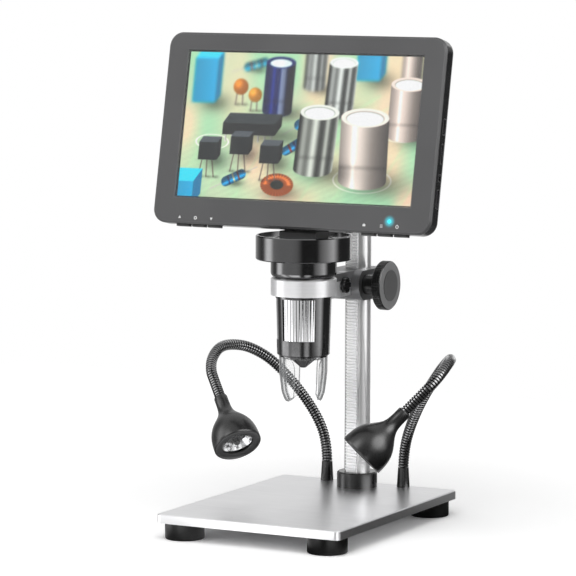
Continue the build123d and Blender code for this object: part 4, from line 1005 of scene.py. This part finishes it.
makeLamp(-1, "left")
makeLamp(1, "right")
makeDiodes(-1, "left")
makeDiodes(1, "right")

# plain signs by the keys and small strokes by the sockets
signLook = Look(
    size=0.0011, thick=6e-5, sunk=0.25, left=(-0.0728, -0.0621, -0.0514), leftRow=-0.0564,
    right=(0.0493, 0.0604, 0.0705), rightRow=-0.0558, side=0.09145,
    strokes=(0.00375, -0.0118, -0.026, -0.0382), strokeDepth=0.003,
)


def flatSign(sides, size, turn, middle, stretch=(1.0, 1.0), hole=0.0):
    dropSelection()
    bpy.ops.mesh.primitive_circle_add(vertices=sides, radius=size, fill_type="NGON")
    sign = pieceNow("sign")
    openMesh()
    bpy.ops.transform.rotate(value=-radians(turn), orient_axis="Z", center_override=(0, 0, 0))
    bpy.ops.transform.resize(value=(*stretch, 1))
    if hole:
        bpy.ops.mesh.inset(thickness=size * (1 - hole))
        bpy.ops.mesh.delete(type="FACE")
        bpy.ops.mesh.select_all(action="SELECT")
    bpy.ops.mesh.extrude_region_move(TRANSFORM_OT_translate={"value": (0, 0, signLook.thick)})
    closeMesh()
    sign.location = (*middle, -signLook.thick * signLook.sunk)
    bpy.context.view_layer.update()
    return settle(sign)


def makeSigns():
    size, row = signLook.size, signLook.leftRow
    first, middle, last = signLook.left
    signs = [
        flatSign(3, size, 0, (first, row)),
        flatSign(20, size * 0.95, 0, (middle, row), hole=0.55),
        flatSign(3, size, 180, (last, row)),
    ]
    row = signLook.rightRow
    first, middle, last = signLook.right
    signs += [
        flatSign(4, size, 45, (first, row), (1.15, 0.75)),
        flatSign(4, size * 0.5, 45, (first, row + size * 0.72), (1.0, 0.5)),
        *[flatSign(4, size * 1.1, 45, (middle, row + step * size), (0.95, 0.16))
          for step in (-0.62, 0, 0.62)],
        flatSign(20, size * 0.95, 0, (last, row), hole=0.62),
        flatSign(4, size * 0.55, 45, (last, row + size * 0.75), (0.35, 1.2)),
    ]
    for sign in signs:
        settle(sign, screenFrame())
    sideways = Matrix.Rotation(radians(90), 4, "Y")
    sideFrame = screenFrame() @ Matrix.Translation((signLook.side, 0, 0)) @ sideways
    for height in signLook.strokes:
        stroke = flatSign(4, size * 0.8, 45, (signLook.strokeDepth, height), (0.35, 1.5))
        signs.append(settle(stroke, sideFrame))
    signs = joined(signs, "signs")
    paint(signs, finishes["mark"])
    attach(signs, "monitor")


makeSigns()
print("diodes and signs made")

# chrome grip windows with flutes, at these bearings round the barrel
gripLook = Look(
    azimuths=(15.5, -77.5, -170.5), angle=75.0, flutes=11, depth=0.0002, low=0.114, high=0.1385,
    wideLow=0.01566, wideHigh=0.01636, wall=0.0008, steps=4, axis=-0.00895, seed=0.0002, smooth=60.0,
)


def makeGrip(azimuth):
    steps, flutes, angle, wide = [gripLook[key] for key in ("steps", "flutes", "angle", "wideLow")]
    dropSelection()
    bpy.ops.mesh.primitive_plane_add(size=gripLook.seed)
    grip = pieceNow("gripWindow")
    openMesh()
    bpy.ops.mesh.merge(type="CENTER")
    bpy.ops.transform.translate(value=(0, -wide, gripLook.low))
    rise = (0, wide - gripLook.wideHigh, gripLook.high - gripLook.low)
    bpy.ops.mesh.extrude_vertices_move(TRANSFORM_OT_translate={"value": rise})
    bpy.ops.mesh.select_all(action="SELECT")
    bpy.ops.transform.rotate(value=-radians(angle / 2), orient_axis="Z", center_override=(0, 0, 0))
    bpy.ops.mesh.spin(steps=steps * flutes, angle=radians(angle), center=(0, 0, 0), axis=(0, 0, 1))
    bpy.ops.mesh.select_all(action="DESELECT")
    bpy.ops.object.mode_set(mode="OBJECT")
    part = angle / flutes / steps
    turns = [degrees(atan2(vertex.co.x, -vertex.co.y)) + angle / 2 for vertex in grip.data.vertices]
    for number in range(steps):
        valley = 0.5 - 0.5 * cos(2 * pi * number / steps)
        for vertex, turn in zip(grip.data.vertices, turns):
            vertex.select = round(turn / part) % steps == number
        bpy.ops.object.mode_set(mode="EDIT")
        shrink = 1 - gripLook.depth * valley / wide
        bpy.ops.transform.resize(value=(shrink, shrink, 1), center_override=(0, 0, 0))
        bpy.ops.object.mode_set(mode="OBJECT")
    wall = grip.modifiers.new("wall", "SOLIDIFY")
    wall.thickness = gripLook.wall
    wall.offset = -1.0
    applyModifiers(grip)
    turned = Matrix.Rotation(radians(azimuth), 4, "Z")
    return settle(grip, Matrix.Translation((0, gripLook.axis, 0)) @ turned, smooth=gripLook.smooth)


grips = joined([makeGrip(azimuth) for azimuth in gripLook.azimuths], "gripWindows")
openMesh()
closeMesh()
paint(grips, finishes["chrome"])
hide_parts("grip_inserts")
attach(grips, "head")
print("grips made")

# a ring is what shiny surfaces see round the object, as bearing in degrees and level: white paper with
# dark flags and bright strips
floorLook = Look(
    size=1.1, colour=(0.93, 0.93, 0.93), camera=(1.27, 1.27, 1.27), paper=1.1, paperFrom=(0.16, 0.42),
    shade=(0.11, 0.15, 0.25, 1.0),
    ring=((-180, 0.7), (-150, 0.7), (-105, 0.2), (-82, 0.6), (-62, 1.1), (-54, 2.6), (-42, 2.6),
          (-36, 1.0), (-26, 1.4), (-21, 2.8), (9, 3.2), (15, 0.2), (26, 0.1), (34, 1.8), (46, 1.8),
          (54, 0.15), (170, 0.15), (178, 0.6)),
)
# the windows stand above the ring: bearing, rise and half width in degrees, and level
worldLook = Look(
    fill=0.5, above=0.9, high=(0.45, 0.8), haze=0.1, lift=0.32, peak=4.0,
    windows=((78, 30, 32, 4.0), (-26, 36, 22, 3.0)),
    ring=((-180, 0.78), (-150, 0.78), (-120, 0.5), (-94, 0.15), (-84, 0.3), (-70, 3.2), (-60, 3.0),
          (-50, 0.7), (-28, 0.62), (0, 0.62), (12, 0.5), (24, 0.06), (60, 0.06), (68, 0.55), (84, 1.1),
          (103, 2.3), (112, 1.0), (120, 0.08), (170, 0.08), (178, 1.6)),
)


# rays that show a thing itself, also through clear pieces, and rays that show it in a shiny surface
def rayKinds(bench):
    kinds = ("Is Camera Ray", "Is Transmission Ray", "Is Glossy Ray", "Diffuse Depth")
    camera, through, gloss, bounce = [bench.node("ShaderNodeLightPath", output=name) for name in kinds]
    return camera.most(through), gloss * (1 - bounce.above(0.5))


def ringLevel(bench, x, y, profile):
    bearing = x.maths("ARCTAN2", x, -1 * y) / pi
    stops = [((turn + 180) / 360, (level / worldLook.peak,) * 3) for turn, level in profile]
    ring = bench.node("ShaderNodeValToRGB", {0: bearing * 0.5 + 0.5}, stops=stops)
    return bench.axes(ring)[0] * worldLook.peak


def outwards(bearing, rise):
    turn, rise = radians(bearing), radians(rise)
    return Vector((sin(turn) * cos(rise), -cos(turn) * cos(rise), sin(rise)))


def makeFloor(look):
    dropSelection()
    bpy.ops.mesh.primitive_plane_add(size=look.size)
    floor = pieceNow("studioFloor")
    bench = materialBench("studioFloor")
    shown, gloss = rayKinds(bench)
    colour = bench.blendColours(shown, look.colour, look.camera)
    matt = bench.node("ShaderNodeBsdfDiffuse", {"Color": colour})
    place = bench.place()
    x, y, _ = bench.axes(place)
    away = bench.measure("LENGTH", place)
    seen = ringLevel(bench, x, y, look.ring) * away.between(*look.shade)
    paper = bench.node("ShaderNodeEmission", {"Strength": look.paper * (1 - gloss) + seen * gloss})
    plain = shown * away.between(*look.paperFrom) + gloss * (1 - shown)
    surface = bench.node("ShaderNodeMixShader", {0: plain, 1: matt, 2: paper})
    bench.node("ShaderNodeOutputMaterial", {"Surface": surface})
    floor.data.materials.append(bench.owner)


def makeWorld(look):
    world = bpy.data.worlds.new("studio")
    bpy.context.scene.world = world
    bench = Bench(world)
    shown, gloss = rayKinds(bench)
    outward = bench.node("ShaderNodeTexCoord", output="Generated")
    x, y, z = bench.axes(outward)
    lifted = ringLevel(bench, x, y, look.ring).most(z.between(0.0, look.haze, 0.0, look.lift))
    high = z.between(*look.high)
    glossy = lifted * (1 - high) + look.above * high
    for bearing, rise, wide, level in look.windows:
        near = bench.measure("DOT_PRODUCT", outward, outwards(bearing, rise))
        glossy = glossy + near.between(cos(radians(wide)), cos(radians(wide / 2))) * level
    strength = look.fill * (1 - gloss) * (1 - shown) + glossy * gloss * (1 - shown) + shown
    background = bench.node("ShaderNodeBackground", {"Color": (1.0, 1.0, 1.0, 1.0), "Strength": strength})
    bench.node("ShaderNodeOutputWorld", {"Surface": background})


lampsAim = (0.0, 0.0, 0.14)
lampLooks = Look(
    softTop=Look(bearing=10.0, rise=66.0, away=1.7, size=(1.3, 1.3), watts=12.0),
    softFront=Look(bearing=12.0, rise=30.0, away=2.4, size=(1.2, 1.0), watts=10.0),
)


def hangLamp(name, look):
    back = outwards(look.bearing, look.rise)
    dropSelection()
    bpy.ops.object.light_add(type="AREA", location=Vector(lampsAim) + back * look.away)
    lamp = bpy.context.object
    lamp.name = name
    lamp.rotation_euler = back.to_track_quat("Z", "Y").to_euler()
    lamp.data.shape = "RECTANGLE"
    lamp.data.size, lamp.data.size_y = look.size
    lamp.data.energy = look.watts
    lamp.visible_camera = False
    lamp.visible_glossy = False


cameraLook = Look(
    at=(0.89116, -1.73631, 0.35814), bearing=27.5625, pitch=6.28, roll=0.2, lens=206.75, sight=60.0,
)


def setCamera(look):
    dropSelection()
    bpy.ops.object.camera_add(location=look.at)
    camera = bpy.context.object
    upright = outwards(look.bearing, look.pitch).to_track_quat("Z", "Y").to_matrix()
    camera.rotation_euler = (upright @ Matrix.Rotation(radians(look.roll), 3, "Z")).to_euler()
    camera.data.lens = look.lens
    camera.data.clip_end = look.sight
    bpy.context.scene.camera = camera


makeFloor(floorLook)
makeWorld(worldLook)
for name, look in lampLooks.items():
    hangLamp(name, look)
setCamera(cameraLook)
bpy.context.scene.view_settings.view_transform = "Standard"
print("studio ready")
